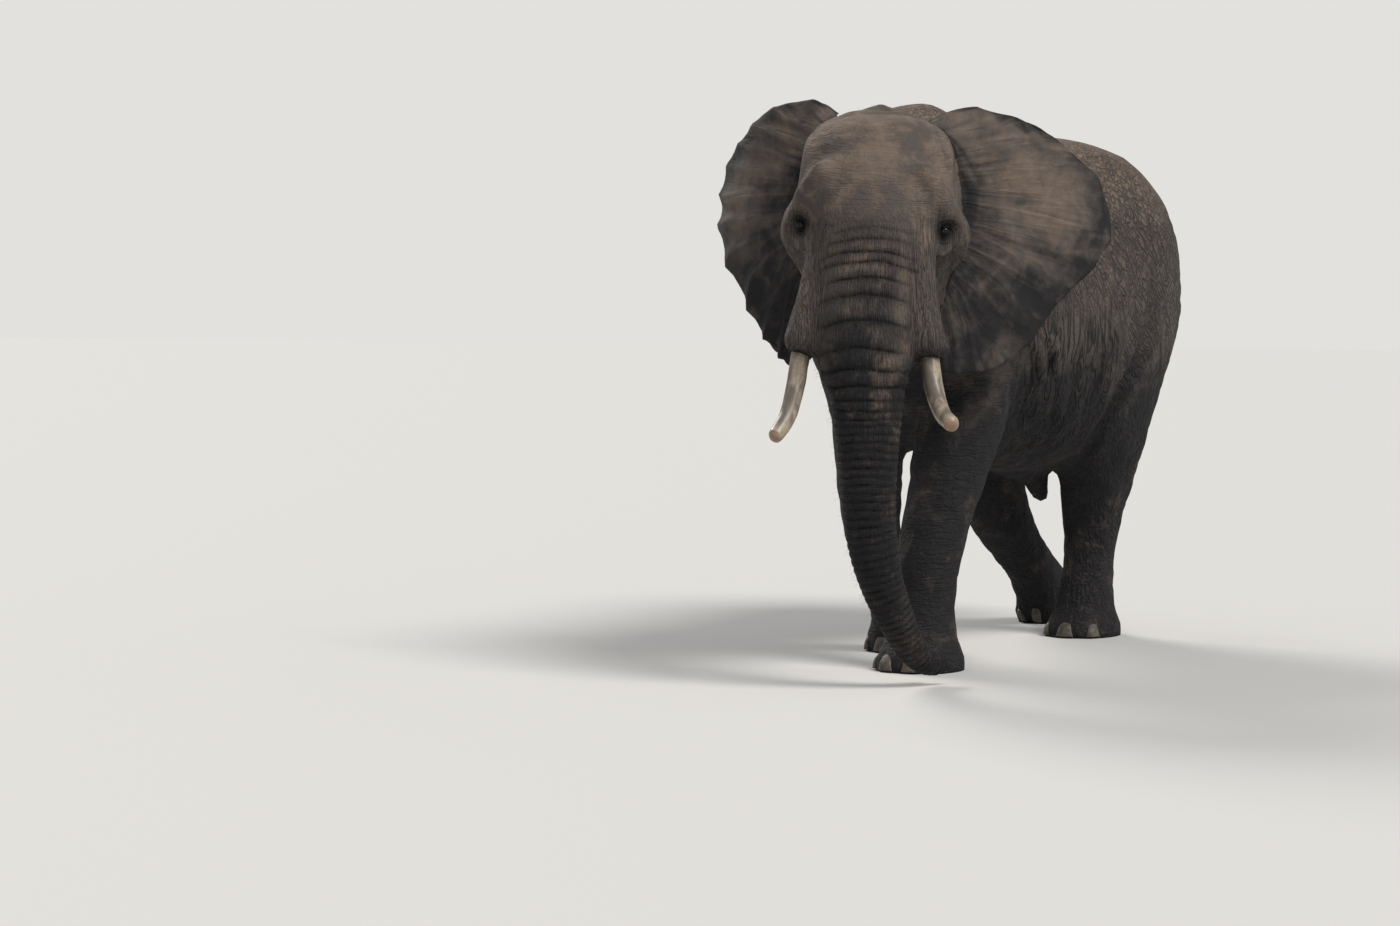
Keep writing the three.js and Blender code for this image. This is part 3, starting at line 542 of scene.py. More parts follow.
def outward(mesh):
    """Turns a closed mesh's faces outwards."""
    made = bmesh.new()
    made.from_mesh(mesh)
    bmesh.ops.recalc_face_normals(made, faces=made.faces)
    made.to_mesh(mesh)
    made.free()
    return mesh


def units(vectors):
    """Rows of vectors, each made one long."""
    return vectors / np.linalg.norm(vectors, axis=-1)[..., None]


def round_angles(count):
    return np.arange(count) / count * 2 * np.pi


def lengths_along(knots):
    """How far along a line each of its points lies."""
    return np.r_[0, np.cumsum(np.linalg.norm(np.diff(knots[:, :3], axis=0), axis=1))]


def sampled(knots, length, along):
    """Centres and radii of a line at lengths along it."""
    return np.stack([np.interp(along, length, knots[:, i]) for i in range(4)], axis=1)


def rays_round(path, sides):
    """Unit vectors that stand out round each point of a path, square to it."""
    tangent = units(np.gradient(path[:, :3], axis=0))
    side = units(np.cross(tangent, (1, 0, 0)))
    other = np.cross(tangent, side)
    angle = round_angles(sides)[None, :, None]
    return np.cos(angle) * side[:, None] + np.sin(angle) * other[:, None]


def tube_faces(points, sides):
    """The faces of a tube of rings of points, closed at both ends."""
    number = np.arange(len(points)).reshape(-1, sides)
    after = np.roll(number, -1, axis=1)
    quads = np.stack([number[:-1], after[:-1], after[1:], number[1:]], axis=-1).reshape(-1, 4)
    return [*quads, number[0][::-1], number[-1]]


def refine(mesh, chosen):
    """Divides the faces whose middles a function chooses, once."""
    made = bmesh.new()
    made.from_mesh(mesh)
    middles = np.array([face.calc_center_median() for face in made.faces])
    marks = chosen(middles)
    edges = {edge for face, mark in zip(made.faces, marks) if mark for edge in face.edges}
    bmesh.ops.subdivide_edges(made, edges=list(edges), cuts=1, use_grid_fill=True)
    made.to_mesh(mesh)
    made.free()


# ---------------------------------------------------------------- ears


def spline(points, t):
    """A Catmull-Rom curve through points, t from 0 to 1."""
    last = len(points) - 1
    at = np.clip(t, 0, 1) * last
    i = np.minimum(at.astype(int), last - 1)
    u = (at - i)[..., None]
    a, b, c, d = (points[np.clip(i + k, 0, last)] for k in (-1, 0, 1, 2))
    v0, v1 = (c - a) * 0.5, (d - b) * 0.5
    return (2 * b - 2 * c + v0 + v1) * u ** 3 + (3 * c - 3 * b - 2 * v0 - v1) * u ** 2 + v0 * u + b


def ear_middle(ear, s, t):
    """A point of an ear's middle surface, in the head's frame."""
    edge = spline(ear["edge"], s)
    root = EAR_TOP + (EAR_FOOT - EAR_TOP) * s[..., None]
    up = root[..., 2] + (edge[..., 1] - root[..., 2]) * t ** 1.15
    narrowing = ear["tuck"] * ease(-up, -0.05, 0.45) + ear["trim"] * ease(up, 0.15, 0.45)
    out = edge[..., 0] * t * (1 - narrowing)
    first, last = np.radians(ear["sweep"])
    turn = (last - first) / 1.080
    x = (np.sin(first + turn * out) - np.sin(first)) / turn
    y = (np.cos(first) - np.cos(first + turn * out)) / turn
    ripple = 0.020 * t ** 3 * np.sin(s * 21 + ear["wave"])
    curl = 0.060 * np.maximum(up - 0.420, 0) / 0.200 * t
    x = ear["side"] * (root[..., 0] + x - 0.12 * np.maximum(-up - 0.300, 0))
    return np.stack([x, root[..., 1] + y + ripple + curl, up], axis=-1)


def ear_thickness(t):
    body = 0.012 + 0.014 * (1 - t) + 0.050 * np.exp(-t * 14)
    rim = np.sqrt(np.clip((1.004 - t) / 0.06, 0.02, 1))
    return body * rim


def ear_mesh(name, across=114, along=42):
    """A closed sheet with its back and front faces, and s and t stored on its points."""
    ear = EARS[name]
    s, t = np.meshgrid(np.linspace(0, 1, across + 1), np.linspace(0, 1, along + 1) ** 0.92,
                       indexing="ij")
    middle = ear_middle(ear, s, t)
    wide = ear_middle(ear, np.clip(s + 0.004, 0, 1), np.maximum(t, 0.02))
    wide = wide - ear_middle(ear, np.clip(s - 0.004, 0, 1), np.maximum(t, 0.02))
    out = ear_middle(ear, s, np.minimum(t + 0.01, 1)) - ear_middle(ear, s, np.maximum(t - 0.01, 0))
    normal = units(np.cross(wide, out))
    normal *= -np.sign(normal[..., 1].mean())  # towards the front
    half = ear_thickness(t)[..., None] / 2
    faces = [middle + normal * half, middle - normal * half]
    points = np.concatenate([from_head(face.reshape(-1, 3)) for face in faces])
    number = np.arange((across + 1) * (along + 1)).reshape(across + 1, along + 1)
    back = number + number.size

    def quads(grid):
        return np.stack([grid[:-1, :-1], grid[1:, :-1], grid[1:, 1:], grid[:-1, 1:]],
                        axis=-1).reshape(-1, 4)

    rim = np.concatenate([number[:, 0], number[-1, 1:], number[-2::-1, -1], number[0, -2:0:-1]])
    after = np.roll(rim, -1)
    strip = np.stack([rim, after, after + number.size, rim + number.size], axis=-1)
    mesh = mesh_from("ear", points, np.concatenate([quads(number), quads(back)[:, ::-1], strip]))
    outward(mesh)
    side = np.concatenate([np.ones(number.size), -np.ones(number.size)])
    store(mesh, "ear_s", np.tile(s.ravel(), 2))
    store(mesh, "ear_t", np.tile(t.ravel(), 2))
    store(mesh, "ear", side)
    return mesh


# ---------------------------------------------------------------- trunk

TRUNK_CUT = 1.37  # height at which the trunk's own rings begin, below the jaw
CUT_BEHIND, TRUNK_BEHIND = -0.85, -0.80  # the cut, and the trunk below it, lie in front of these
TRUNK_ROUND = 72
RING_STEP = 0.0088


def crease_heights():
    """Heights of the creases across the nose and the trunk, measured along it, from the top."""
    heights = [2.353, 2.31, 2.257, 2.19, 2.14, 2.06, 1.976, 1.85, 1.714, 1.605, 1.52, 1.45]
    step = 0.050
    while heights[-1] > -0.60:
        heights.append(heights[-1] - step)
        step = max(step * 0.93, 0.0395) if heights[-1] > 0.7 else max(step * 0.985, 0.026)
    return np.array(heights)


CREASES = crease_heights()


def crease_profile(height):
    """Rounded ridges between sharp creases, 0 in a crease and 1 on a ridge."""
    phase = np.interp(-height, -CREASES, np.arange(len(CREASES)))
    part = phase - np.floor(phase)
    return (4 * part * (1 - part)) ** 0.45, phase


def crease_depth(height):
    """How deep the creases are, by their height along the nose and trunk."""
    return np.interp(height, [-0.3, 0.2, 0.8, 1.3, 1.5, 1.6, 1.72, 1.86, 1.95, 2.2, 2.4],
                     np.array([5, 8, 11, 13, 16, 19, 20, 16, 11, 8, 4]) * MM)


def trunk_path():
    """Centres and radii along the trunk below the cut, evenly spaced."""
    knots = TRUNK_KNOTS * MM
    fine = spline(knots, np.linspace(0, 1, 800))
    fine = fine[np.argmax(fine[:, 2] < TRUNK_CUT):]
    length = lengths_along(fine)
    along = np.arange(RING_STEP, length[-1], RING_STEP)
    return along, sampled(fine, length, along)


def trunk_tube():
    """Rings of the trunk from the cut to its two-fingered tip: points, heights along it, angles."""
    along, path = trunk_path()
    centres, radii = path[:, :3], path[:, 3]
    tangent = units(np.gradient(centres, axis=0))
    front = HEAD_TURN @ (0, -1, 0)
    side = units(np.cross(tangent, front))
    fore = np.cross(side, tangent)
    level = ease(along, 0, 0.06)[:, None]  # the first ring is level, as the cut is
    side = side * level + (1 - level) * np.cross((0, 0, -1), front)
    fore = fore * level + (1 - level) * front
    angle = round_angles(TRUNK_ROUND)
    flat_back = 1 - 0.10 * np.clip(-np.cos(angle), 0, 1) ** 2
    reach = radii[:, None] * flat_back
    rays = (fore[:, None] * np.cos(angle)[None, :, None] + side[:, None] * np.sin(angle)[None, :, None])
    points = centres[:, None] + rays * reach[..., None]
    near = along < 0.28
    flat = points[near].reshape(-1, 3)
    hugging = settle(flat, turns=3).reshape(points[near].shape)
    hugging[0, :, 2] = points[0, :, 2]
    share = 1 - ease(along[near], 0.05, 0.28)[:, None, None]
    points[near] = points[near] * (1 - share) + hugging * share
    return points, TRUNK_CUT - along, angle, rays, tangent


def trunk_tip(points, rays, tangent):
    """The last rings turn inwards to two nostrils, with a finger in front and one behind."""
    last, ray, ahead = points[-1], rays[-1], tangent[-1]
    centre = last.mean(0)
    angle = round_angles(TRUNK_ROUND)
    finger = 0.075 * bump(np.angle(np.exp(1j * angle)), 0, 0.55)
    finger += 0.035 * bump(np.angle(np.exp(1j * (angle - np.pi))), 0, 0.75)
    extra = []
    for share, pull, forward in ((0.25, 1.0, 0.30), (0.5, 0.97, 0.58), (0.75, 0.92, 0.82),
                                 (0.93, 0.83, 0.96), (1.0, 0.72, 1.0), (0.97, 0.60, 0.93)):
        extra.append(centre + (last - centre) * pull + ahead * (0.012 * share + finger * forward)[:, None])
    lip = extra[-1]
    for pull, depth in ((0.82, 0.0), (0.6, -0.006), (0.42, -0.012), (0.24, -0.012), (0.08, -0.010)):
        ring = centre + (lip - centre) * pull + ahead * depth
        across = (ring - centre) @ np.cross(ray[0], ahead)
        nostril = bump(np.abs(across), 0.022, 0.012) * bump((ring - centre) @ ray[0], 0.004, 0.020)
        extra.append(ring - ahead * (0.035 * nostril)[:, None])
    return np.concatenate([points, np.array(extra)])


# ---------------------------------------------------------------- hide

SKIN_STEP = 0.036
SKIN_LOW, SKIN_HIGH = (-0.90, -1.86, -0.06), (0.92, 2.72, 3.08)
EYE_RADIUS = 0.026
EYE_DEPTH = 0.014  # from the hide to the eye's centre
EYE_SIDES = {"left": 1, "right": -1}
LIDS_REACH, LIDS_DEPTH = 0.13, 0.06  # how far round and behind the eye's centre hide is shaped
HALF_SLIT = 0.037
OPEN_ABOVE, OPEN_BELOW = 0.018, 0.014  # the slit's opening above and below the eye's centre
LID_RADIUS, SOCKET_RADIUS = EYE_RADIUS + 0.0045, EYE_RADIUS - 0.007  # hide over and behind the eye
EYE_HOLLOW = 0.009


def eye_centre(side):
    """The eye's centre, a little under the hide where a line from inside the head leaves it."""
    sign = EYE_SIDES[side]
    start, out = from_head((0.2 * sign, 0, 0)), from_head((1.2 * sign, -0.25, 0))
    direction = (out - start) / np.linalg.norm(out - start)
    low, high = 0.0, 0.4
    for _ in range(30):
        middle = (low + high) / 2
        inside = flesh((start + direction * middle)[None])[0] < 0
        low, high = (middle, high) if inside else (low, middle)
    return start + direction * (low - EYE_DEPTH)


EYES = {side: eye_centre(side) for side in EYE_SIDES}


def row_shift():
    """From the body's frame to the row's, by the left eye."""
    low, high = (np.array(corner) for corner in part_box("eye_left"))
    shift = (low + high) / 2 - EYES["left"]
    return np.array([shift[0], shift[1], 0.0])


SHIFT = row_shift()


def folded(points):
    """How deep each point lies in the long folds, 0 to 1, and how far it sinks there."""
    deep, sink = np.zeros(len(points)), np.zeros(len(points))
    mirrored = np.abs(points) * (1, 0, 0) + points * (0, 1, 1)
    for half_width, depth, knots in FOLDS:
        path = spline(np.array(knots, float) * MM, np.linspace(0, 1, FOLD_STEPS))
        reach = 4 * half_width * MM
        near = ((mirrored > path.min(0) - reach) & (mirrored < path.max(0) + reach)).all(1)
        gaps = np.linalg.norm(mirrored[near][:, None] - path[None], axis=-1)
        nearest = gaps.argmin(1)
        gap = gaps.min(1) / (half_width * MM)
        taper = np.sin(np.pi * np.clip(nearest / (FOLD_STEPS - 1), 0.04, 0.96)) ** 0.5
        groove = np.exp(-gap ** 2) * taper
        deep[near] = np.maximum(deep[near], groove)
        sink[near] += depth * MM * (groove - 0.45 * taper * np.exp(-((gap - 2.1) / 0.9) ** 2))
    return deep, sink


def near_eyes(p, radius):
    """Which points lie within a radius of an eye."""
    return np.any([np.linalg.norm(p - centre, axis=1) < radius for centre in EYES.values()], axis=0)


def on_head(p):
    q = to_head(p)
    return (q[:, 1] < 0.50) & (np.abs(q[:, 0]) < 0.56) & (q[:, 2] > -1.15)


def on_nose(p):
    q = to_head(p)
    nose = (q[:, 1] < -0.06) & (np.abs(q[:, 0]) < 0.41) & (q[:, 2] < 0.10)
    return (nose & (p[:, 2] > TRUNK_CUT - 0.02)) | near_eyes(p, 0.14)


def body_mesh():
    """The hide without its ears and tail: the flesh's surface, finer on the head."""
    points, quads = surface_of(flesh, SKIN_LOW, SKIN_HIGH, SKIN_STEP)
    mesh = mesh_from("hide", points, quads)
    weight = np.full(len(points), 0.6)
    edges = edges_of(mesh)
    for _ in range(2):
        points = settle(smoothed(points, edges, weight, 1), turns=1)
    set_points(mesh, points)
    for chosen in (on_head, on_nose, lambda p: near_eyes(p, 0.075), lambda p: folded(p)[0] > 0.02):
        refine(mesh, chosen)
        points = points_of(mesh)
        front = (points[:, 1] < 0.2) | (folded(points)[0] > 0.005)
        points[front] = settle(points[front], turns=1)
        set_points(mesh, points)
    return mesh


def attach_trunk(mesh):
    """Cuts the feet flat at the floor, and bridges the trunk's own rings to the muzzle."""
    made = bmesh.new()
    made.from_mesh(mesh)
    height_layer, tube_layer = (made.verts.layers.float.new(name) for name in ("along", "tube"))
    whole = made.verts[:] + made.edges[:] + made.faces[:]
    cut = bmesh.ops.bisect_plane(made, geom=whole, plane_co=(0, 0, 0.0), plane_no=(0, 0, 1),
                                 clear_inner=True)
    rims = [e for e in cut["geom_cut"] if isinstance(e, bmesh.types.BMEdge)]
    bmesh.ops.holes_fill(made, edges=rims)
    middles = ((face, face.calc_center_median()) for face in made.faces)
    fore = [face for face, middle in middles if middle.y < CUT_BEHIND and middle.z < TRUNK_CUT + 0.2]
    parts = {v for f in fore for v in f.verts} | {e for f in fore for e in f.edges} | set(fore)
    bmesh.ops.bisect_plane(made, geom=list(parts), plane_co=(0, 0, TRUNK_CUT), plane_no=(0, 0, 1))
    low = [v for v in made.verts if v.co.y < TRUNK_BEHIND and v.co.z < TRUNK_CUT - 1e-5]
    bmesh.ops.delete(made, geom=low, context="VERTS")
    open_rim = [e for e in made.edges if e.is_boundary]
    for vertex in made.verts:
        vertex[height_layer] = min(vertex.co.z, TRUNK_CUT + 0.5)
    rings, heights, _, rays, tangent = trunk_tube()
    rings = trunk_tip(rings, rays, tangent)
    grid = [[made.verts.new(point) for point in ring] for ring in rings]
    for number, ring in enumerate(grid):
        past = max(number + 1 - len(heights), 0)
        for vertex in ring:
            vertex[height_layer] = heights[min(number, len(heights) - 1)] - RING_STEP * past
            vertex[tube_layer] = 1 - min(past / 4, 1)
    for a, b in zip(grid[:-1], grid[1:]):
        for i in range(TRUNK_ROUND):
            made.faces.new((a[i], a[(i + 1) % TRUNK_ROUND], b[(i + 1) % TRUNK_ROUND], b[i]))
    made.faces.new(grid[-1])
    first = [made.edges.get((grid[0][i], grid[0][(i + 1) % TRUNK_ROUND])) for i in range(TRUNK_ROUND)]
    bmesh.ops.bridge_loops(made, edges=open_rim + first)
    bmesh.ops.triangulate(made, faces=[f for f in made.faces if len(f.verts) > 4])
    bmesh.ops.recalc_face_normals(made, faces=made.faces)
    made.to_mesh(mesh)
    made.free()


def tail_mesh(sides=20, step=0.016):
    """The tail below its root, as a closed tube whose upper end is buried in the root."""
    knots = spline(np.array(TAIL, float) * MM, np.linspace(0, 1, 500))
    length = lengths_along(knots)
    along = np.arange(0.05, length[-1], step)
    path = sampled(knots, length, along)
    path[:, 3] *= 0.72 + 0.28 * ease(along, 0.10, 0.26)
    points = (path[:, None, :3] + rays_round(path, sides) * path[:, None, 3:]).reshape(-1, 3)
    mesh = outward(mesh_from("tail", points, tube_faces(points, sides)))
    store(mesh, "tail", np.ones(len(points)))
    return mesh


def unite(mesh, other):
    """Joins two closed meshes, keeping what is stored on their points."""
    base, tool = add_object("base", mesh), add_object("tool", other)
    modifier = base.modifiers.new("join", "BOOLEAN")
    modifier.operation, modifier.solver, modifier.object = "UNION", "MANIFOLD", tool
    depsgraph = bpy.context.evaluated_depsgraph_get()
    result = bpy.data.meshes.new_from_object(base.evaluated_get(depsgraph))
    for piece in (base, tool):
        data = piece.data
        bpy.data.objects.remove(piece)
        bpy.data.meshes.remove(data)
    return result


def drop_fins(mesh):
    """Removes the pairs of triangles that lie back to back on the same three points."""
    made = bmesh.new()
    made.from_mesh(mesh)
    bmesh.ops.triangulate(made, faces=made.faces)
    by_corners = {}
    for face in made.faces:
        corners = frozenset(corner.co.to_tuple(6) for corner in face.verts)
        by_corners.setdefault(corners, []).append(face)
    fins = [face for faces in by_corners.values() if len(faces) > 1 for face in faces]
    bmesh.ops.delete(made, geom=fins, context="FACES")
    rim = {corner for edge in made.edges if len(edge.link_faces) == 1 for corner in edge.verts}
    bmesh.ops.remove_doubles(made, verts=list(rim), dist=1e-6)
    made.to_mesh(mesh)
    made.free()
    return mesh


def seam_weight(mesh, turns=3):
    """How near each point is to where the ears or the tail meet the rest."""
    edges = edges_of(mesh)
    kind = np.rint(stored(mesh, "ear")) + 3 * np.rint(stored(mesh, "tail"))
    weight = np.zeros(len(kind))
    crossing = edges[kind[edges[:, 0]] != kind[edges[:, 1]]]
    on_rim = (stored(mesh, "ear_t")[crossing] > 0.9).all(1)  # the ear's own rim is no seam
    weight[crossing[~on_rim].ravel()] = 1.0
    for _ in range(turns):
        spread = weight.copy()
        np.maximum.at(spread, edges[:, 0], weight[edges[:, 1]] * 0.8)
        np.maximum.at(spread, edges[:, 1], weight[edges[:, 0]] * 0.8)
        weight = spread
    return weight, edges


# ---------------------------------------------------------------- node maths


class Wire:
    """A value in a node tree, for writing its maths as expressions."""

    def __init__(self, paint, socket):
        self.paint, self.socket = paint, socket

    def math(self, operation, a, b=None, clamp=False):
        values = {0: a} if b is None else {0: a, 1: b}
        return self.paint.add("ShaderNodeMath", {"operation": operation, "use_clamp": clamp}, values)

    def __add__(self, other):
        return self.math("ADD", self, other)

    def __sub__(self, other):
        return self.math("SUBTRACT", self, other)

    def __rsub__(self, other):
        return self.math("SUBTRACT", other, self)

    def __mul__(self, other):
        return self.math("MULTIPLY", self, other)

    def __pow__(self, other):
        return self.math("POWER", self, other)

    __radd__, __rmul__ = __add__, __mul__

    def most(self, other):
        return self.math("MAXIMUM", self, other)

    def clamp(self):
        return self.math("ADD", self, 0.0, clamp=True)

    def ease(self, low, high, start=0.0, end=1.0):
        """Runs smoothly from start to end while the value goes from low to high."""
        return self.paint.add("ShaderNodeMapRange", {"interpolation_type": "SMOOTHSTEP"},
                              {0: self, 1: low, 2: high, 3: start, 4: end})


class Graph:
    """A node tree and the nodes that are added to it."""

    def __init__(self, tree):
        self.nodes, self.links = tree.nodes, tree.links

    def add(self, kind, settings=None, values=None, output=0):
        """Adds a node: its settings first, then the values or links of its sockets."""
        node = self.nodes.new(kind)
        for name, value in (settings or {}).items():
            setattr(node, name, value)
        self.feed(node, values or {})
        return Wire(self, node.outputs[output]) if node.outputs else node

    def feed(self, node, values):
        for name, value in values.items():
            if isinstance(value, Wire):
                self.links.new(value.socket, node.inputs[name])
            else:
                node.inputs[name].default_value = value


class Paint(Graph):
    """A material."""

    def __init__(self, name):
        self.material = bpy.data.materials.new(name)
        self.material.use_nodes = True
        super().__init__(self.material.node_tree)
        self.shader = self.nodes["Principled BSDF"]

    def place(self, scale=(1, 1, 1), turn=(0, 0, 0), about=(0, 0, 0)):
        """Object coordinates round a point, turned and scaled."""
        spot = self.add("ShaderNodeTexCoord", output="Object")
        spot = self.add("ShaderNodeVectorMath", {"operation": "SUBTRACT"}, {0: spot, 1: about})
        spot = self.add("ShaderNodeVectorRotate", {"rotation_type": "EULER_XYZ", "invert": True},
                        {"Vector": spot, "Rotation": turn})
        return self.add("ShaderNodeVectorMath", {"operation": "MULTIPLY"}, {0: spot, 1: scale})

    def noise(self, spot, scale=1.0, detail=3.0, rough=0.55, distortion=0.0):
        return self.add("ShaderNodeTexNoise", None,
                        {"Vector": spot, "Scale": scale, "Detail": detail, "Roughness": rough,
                         "Distortion": distortion})

    def creases(self, scale, turn=(0, 0, 0), about=(0, 0, 0), soft=0.5, bent=0.3):
        """Creases, 1 at the bottom of each, as close in each direction as the scale is large."""
        value = self.add("ShaderNodeTexNoise", {"noise_type": "RIDGED_MULTIFRACTAL"},
                         {"Vector": self.place(scale, turn, about), "Scale": 1.0, "Detail": 0.0,
                          "Offset": 1.0, "Gain": 1.0, "Distortion": bent})
        return value.ease(soft, 1.0)

    def stored(self, name):
        return self.add("ShaderNodeAttribute", {"attribute_name": name}, output="Fac")

    def mix(self, a, b, share):
        """A share of the second colour over the first."""
        return self.add("ShaderNodeMix", {"data_type": "RGBA", "clamp_factor": True},
                        {0: share, 6: a, 7: b}, output=2)

    def finish(self, colour, roughness, height=None, **others):
        """Feeds the shader. The height is in metres."""
        values = {"Base Color": colour, "Roughness": roughness, **others}
        if height is not None:
            values["Normal"] = self.add("ShaderNodeBump", None,
                                        {"Strength": 1.0, "Distance": 1.0, "Height": height})
        self.feed(self.shader, values)
        return self.material


def colour(red, green, blue):
    """A colour from its sRGB bytes."""
    linear = [c / 12.92 if c <= 0.04045 else ((c + 0.055) / 1.055) ** 2.4
              for c in (v / 255 for v in (red, green, blue))]
    return (*linear, 1.0)


# ---------------------------------------------------------------- folds and lids


def tusk_axis(side):
    """A tusk's centre line and radii, from inside its root to its tip."""
    sign = EYE_SIDES[side]
    rows = np.array(TUSKS[side], float)
    centres = from_head(rows[:, :3] * MM * (sign, 1, 1))
    return spline(np.c_[centres, rows[:, 3] * TUSK_RADIUS], np.linspace(0, 1, 121))


def eye_axes(side):
    """The eye's directions: along the slit, up and out."""
    sign = EYE_SIDES[side]
    out = HEAD_TURN @ (0.86 * sign, -0.50, -0.04)
    slit = HEAD_TURN @ (-0.47 * sign, -0.84, 0.27)
    out /= np.linalg.norm(out)
    slit -= out * (slit @ out)
    slit /= np.linalg.norm(slit)
    return slit, np.cross(out, slit) * sign, out


def lid_shape(points, side):
    """Moves the points round an eye into two lids with a slit, and ring folds round them.

    Gives the points, which of them lie inside the slit, and how much painted shade each gets round the eye,
    0 to 1.
    """
    slit, up, out = eye_axes(side)
    u, v, w = ((points - EYES[side]) @ np.stack([slit, up, out], axis=1)).T
    away = np.hypot(u, v)
    near = (away < LIDS_REACH) & (w > -LIDS_DEPTH)
    half_open = np.where(v > 0, OPEN_ABOVE, OPEN_BELOW)
    rim = np.sqrt((u / HALF_SLIT) ** 2 + (v / half_open) ** 2)  # 1 on the slit's edge
    ball_front = np.sqrt(np.maximum(LID_RADIUS ** 2 - u * u - v * v, 0))
    lids = ball_front * (1 - ease(away, 0.020, 0.034))
    socket = np.sqrt(np.maximum(SOCKET_RADIUS ** 2 - u * u - v * v, 0)) - 0.002

    # ring folds, by how far they lie from the eye, and the hollow that it sits in
    reach = np.hypot(u, v * 1.35)
    target = np.maximum(w, lids) - 0.006 * bump(reach, 0.042, 0.008) + 0.005 * bump(reach, 0.054, 0.009)
    hollow = EYE_HOLLOW * (1 - ease(reach, 0.030, 0.105)) * ease(reach, 0.026, 0.040)
    target -= 0.005 * bump(reach, 0.067, 0.007) + hollow
    target += 0.004 * bump(reach, 0.080, 0.010) - 0.004 * bump(reach, 0.093, 0.008)
    target += 0.005 * bump(rim, 1.16, 0.15)  # the swollen edges of the lids
    share = ease(rim, 0.86, 1.02)
    target = target * share + socket * (1 - share)
    moved = points + out * ((target - w) * near)[:, None]
    # painted shade round the eye, strongest near the slit
    dark = near * (1 - 0.35 * ease(reach, 0.052, 0.075)) * (1 - ease(reach, 0.072, 0.126))
    return moved, near & (rim < 1.0), dark


EAR_FOLDS = 15
FOLD_LIFT, SWELL_LIFT, PLEAT_LIFT = 0.024, 0.010, 0.013
PLEAT_STEP = 0.085  # of the way from the ear's root to its rim


def ear_lift(q, s, t, ear, on_ear):
    """How far the ears' folds, from the root to the rim, and the pleats along the root stand up."""
    lift = np.zeros(len(q))
    for shape in EARS.values():
        mine = on_ear * (np.sign(q[:, 0]) == shape["side"])
        fan = 2 * np.pi * (s * EAR_FOLDS + 0.5 * noise(np.c_[s * 4, t * 1.5, s * 0], 21) + shape["wave"])
        wave = 1 - np.abs(np.sin(fan / 2)) * 2 ** 0.5
        strong = shape["folds"] * ease(t, 0.25, 0.85) * (0.4 + 0.6 * ease(s, 0.30, 0.5))
        bend = mine * ear * wave * strong * FOLD_LIFT
        swell = noise(np.c_[q[:, 0] * 7, q[:, 2] * 4, q[:, 1] * 0], 22)
        bend += mine * ear * SWELL_LIFT * swell * ease(t, 0.1, 0.4)
        pleats = np.sin(2 * np.pi * (t / PLEAT_STEP + 0.3 * noise(np.c_[s * 5, t * 6, s * 0], 24)))
        bend += mine * PLEAT_LIFT * pleats * (1 - ease(t, 0.18, 0.32))
        lift += bend * ease(s, 0.0, 0.07)
    return lift


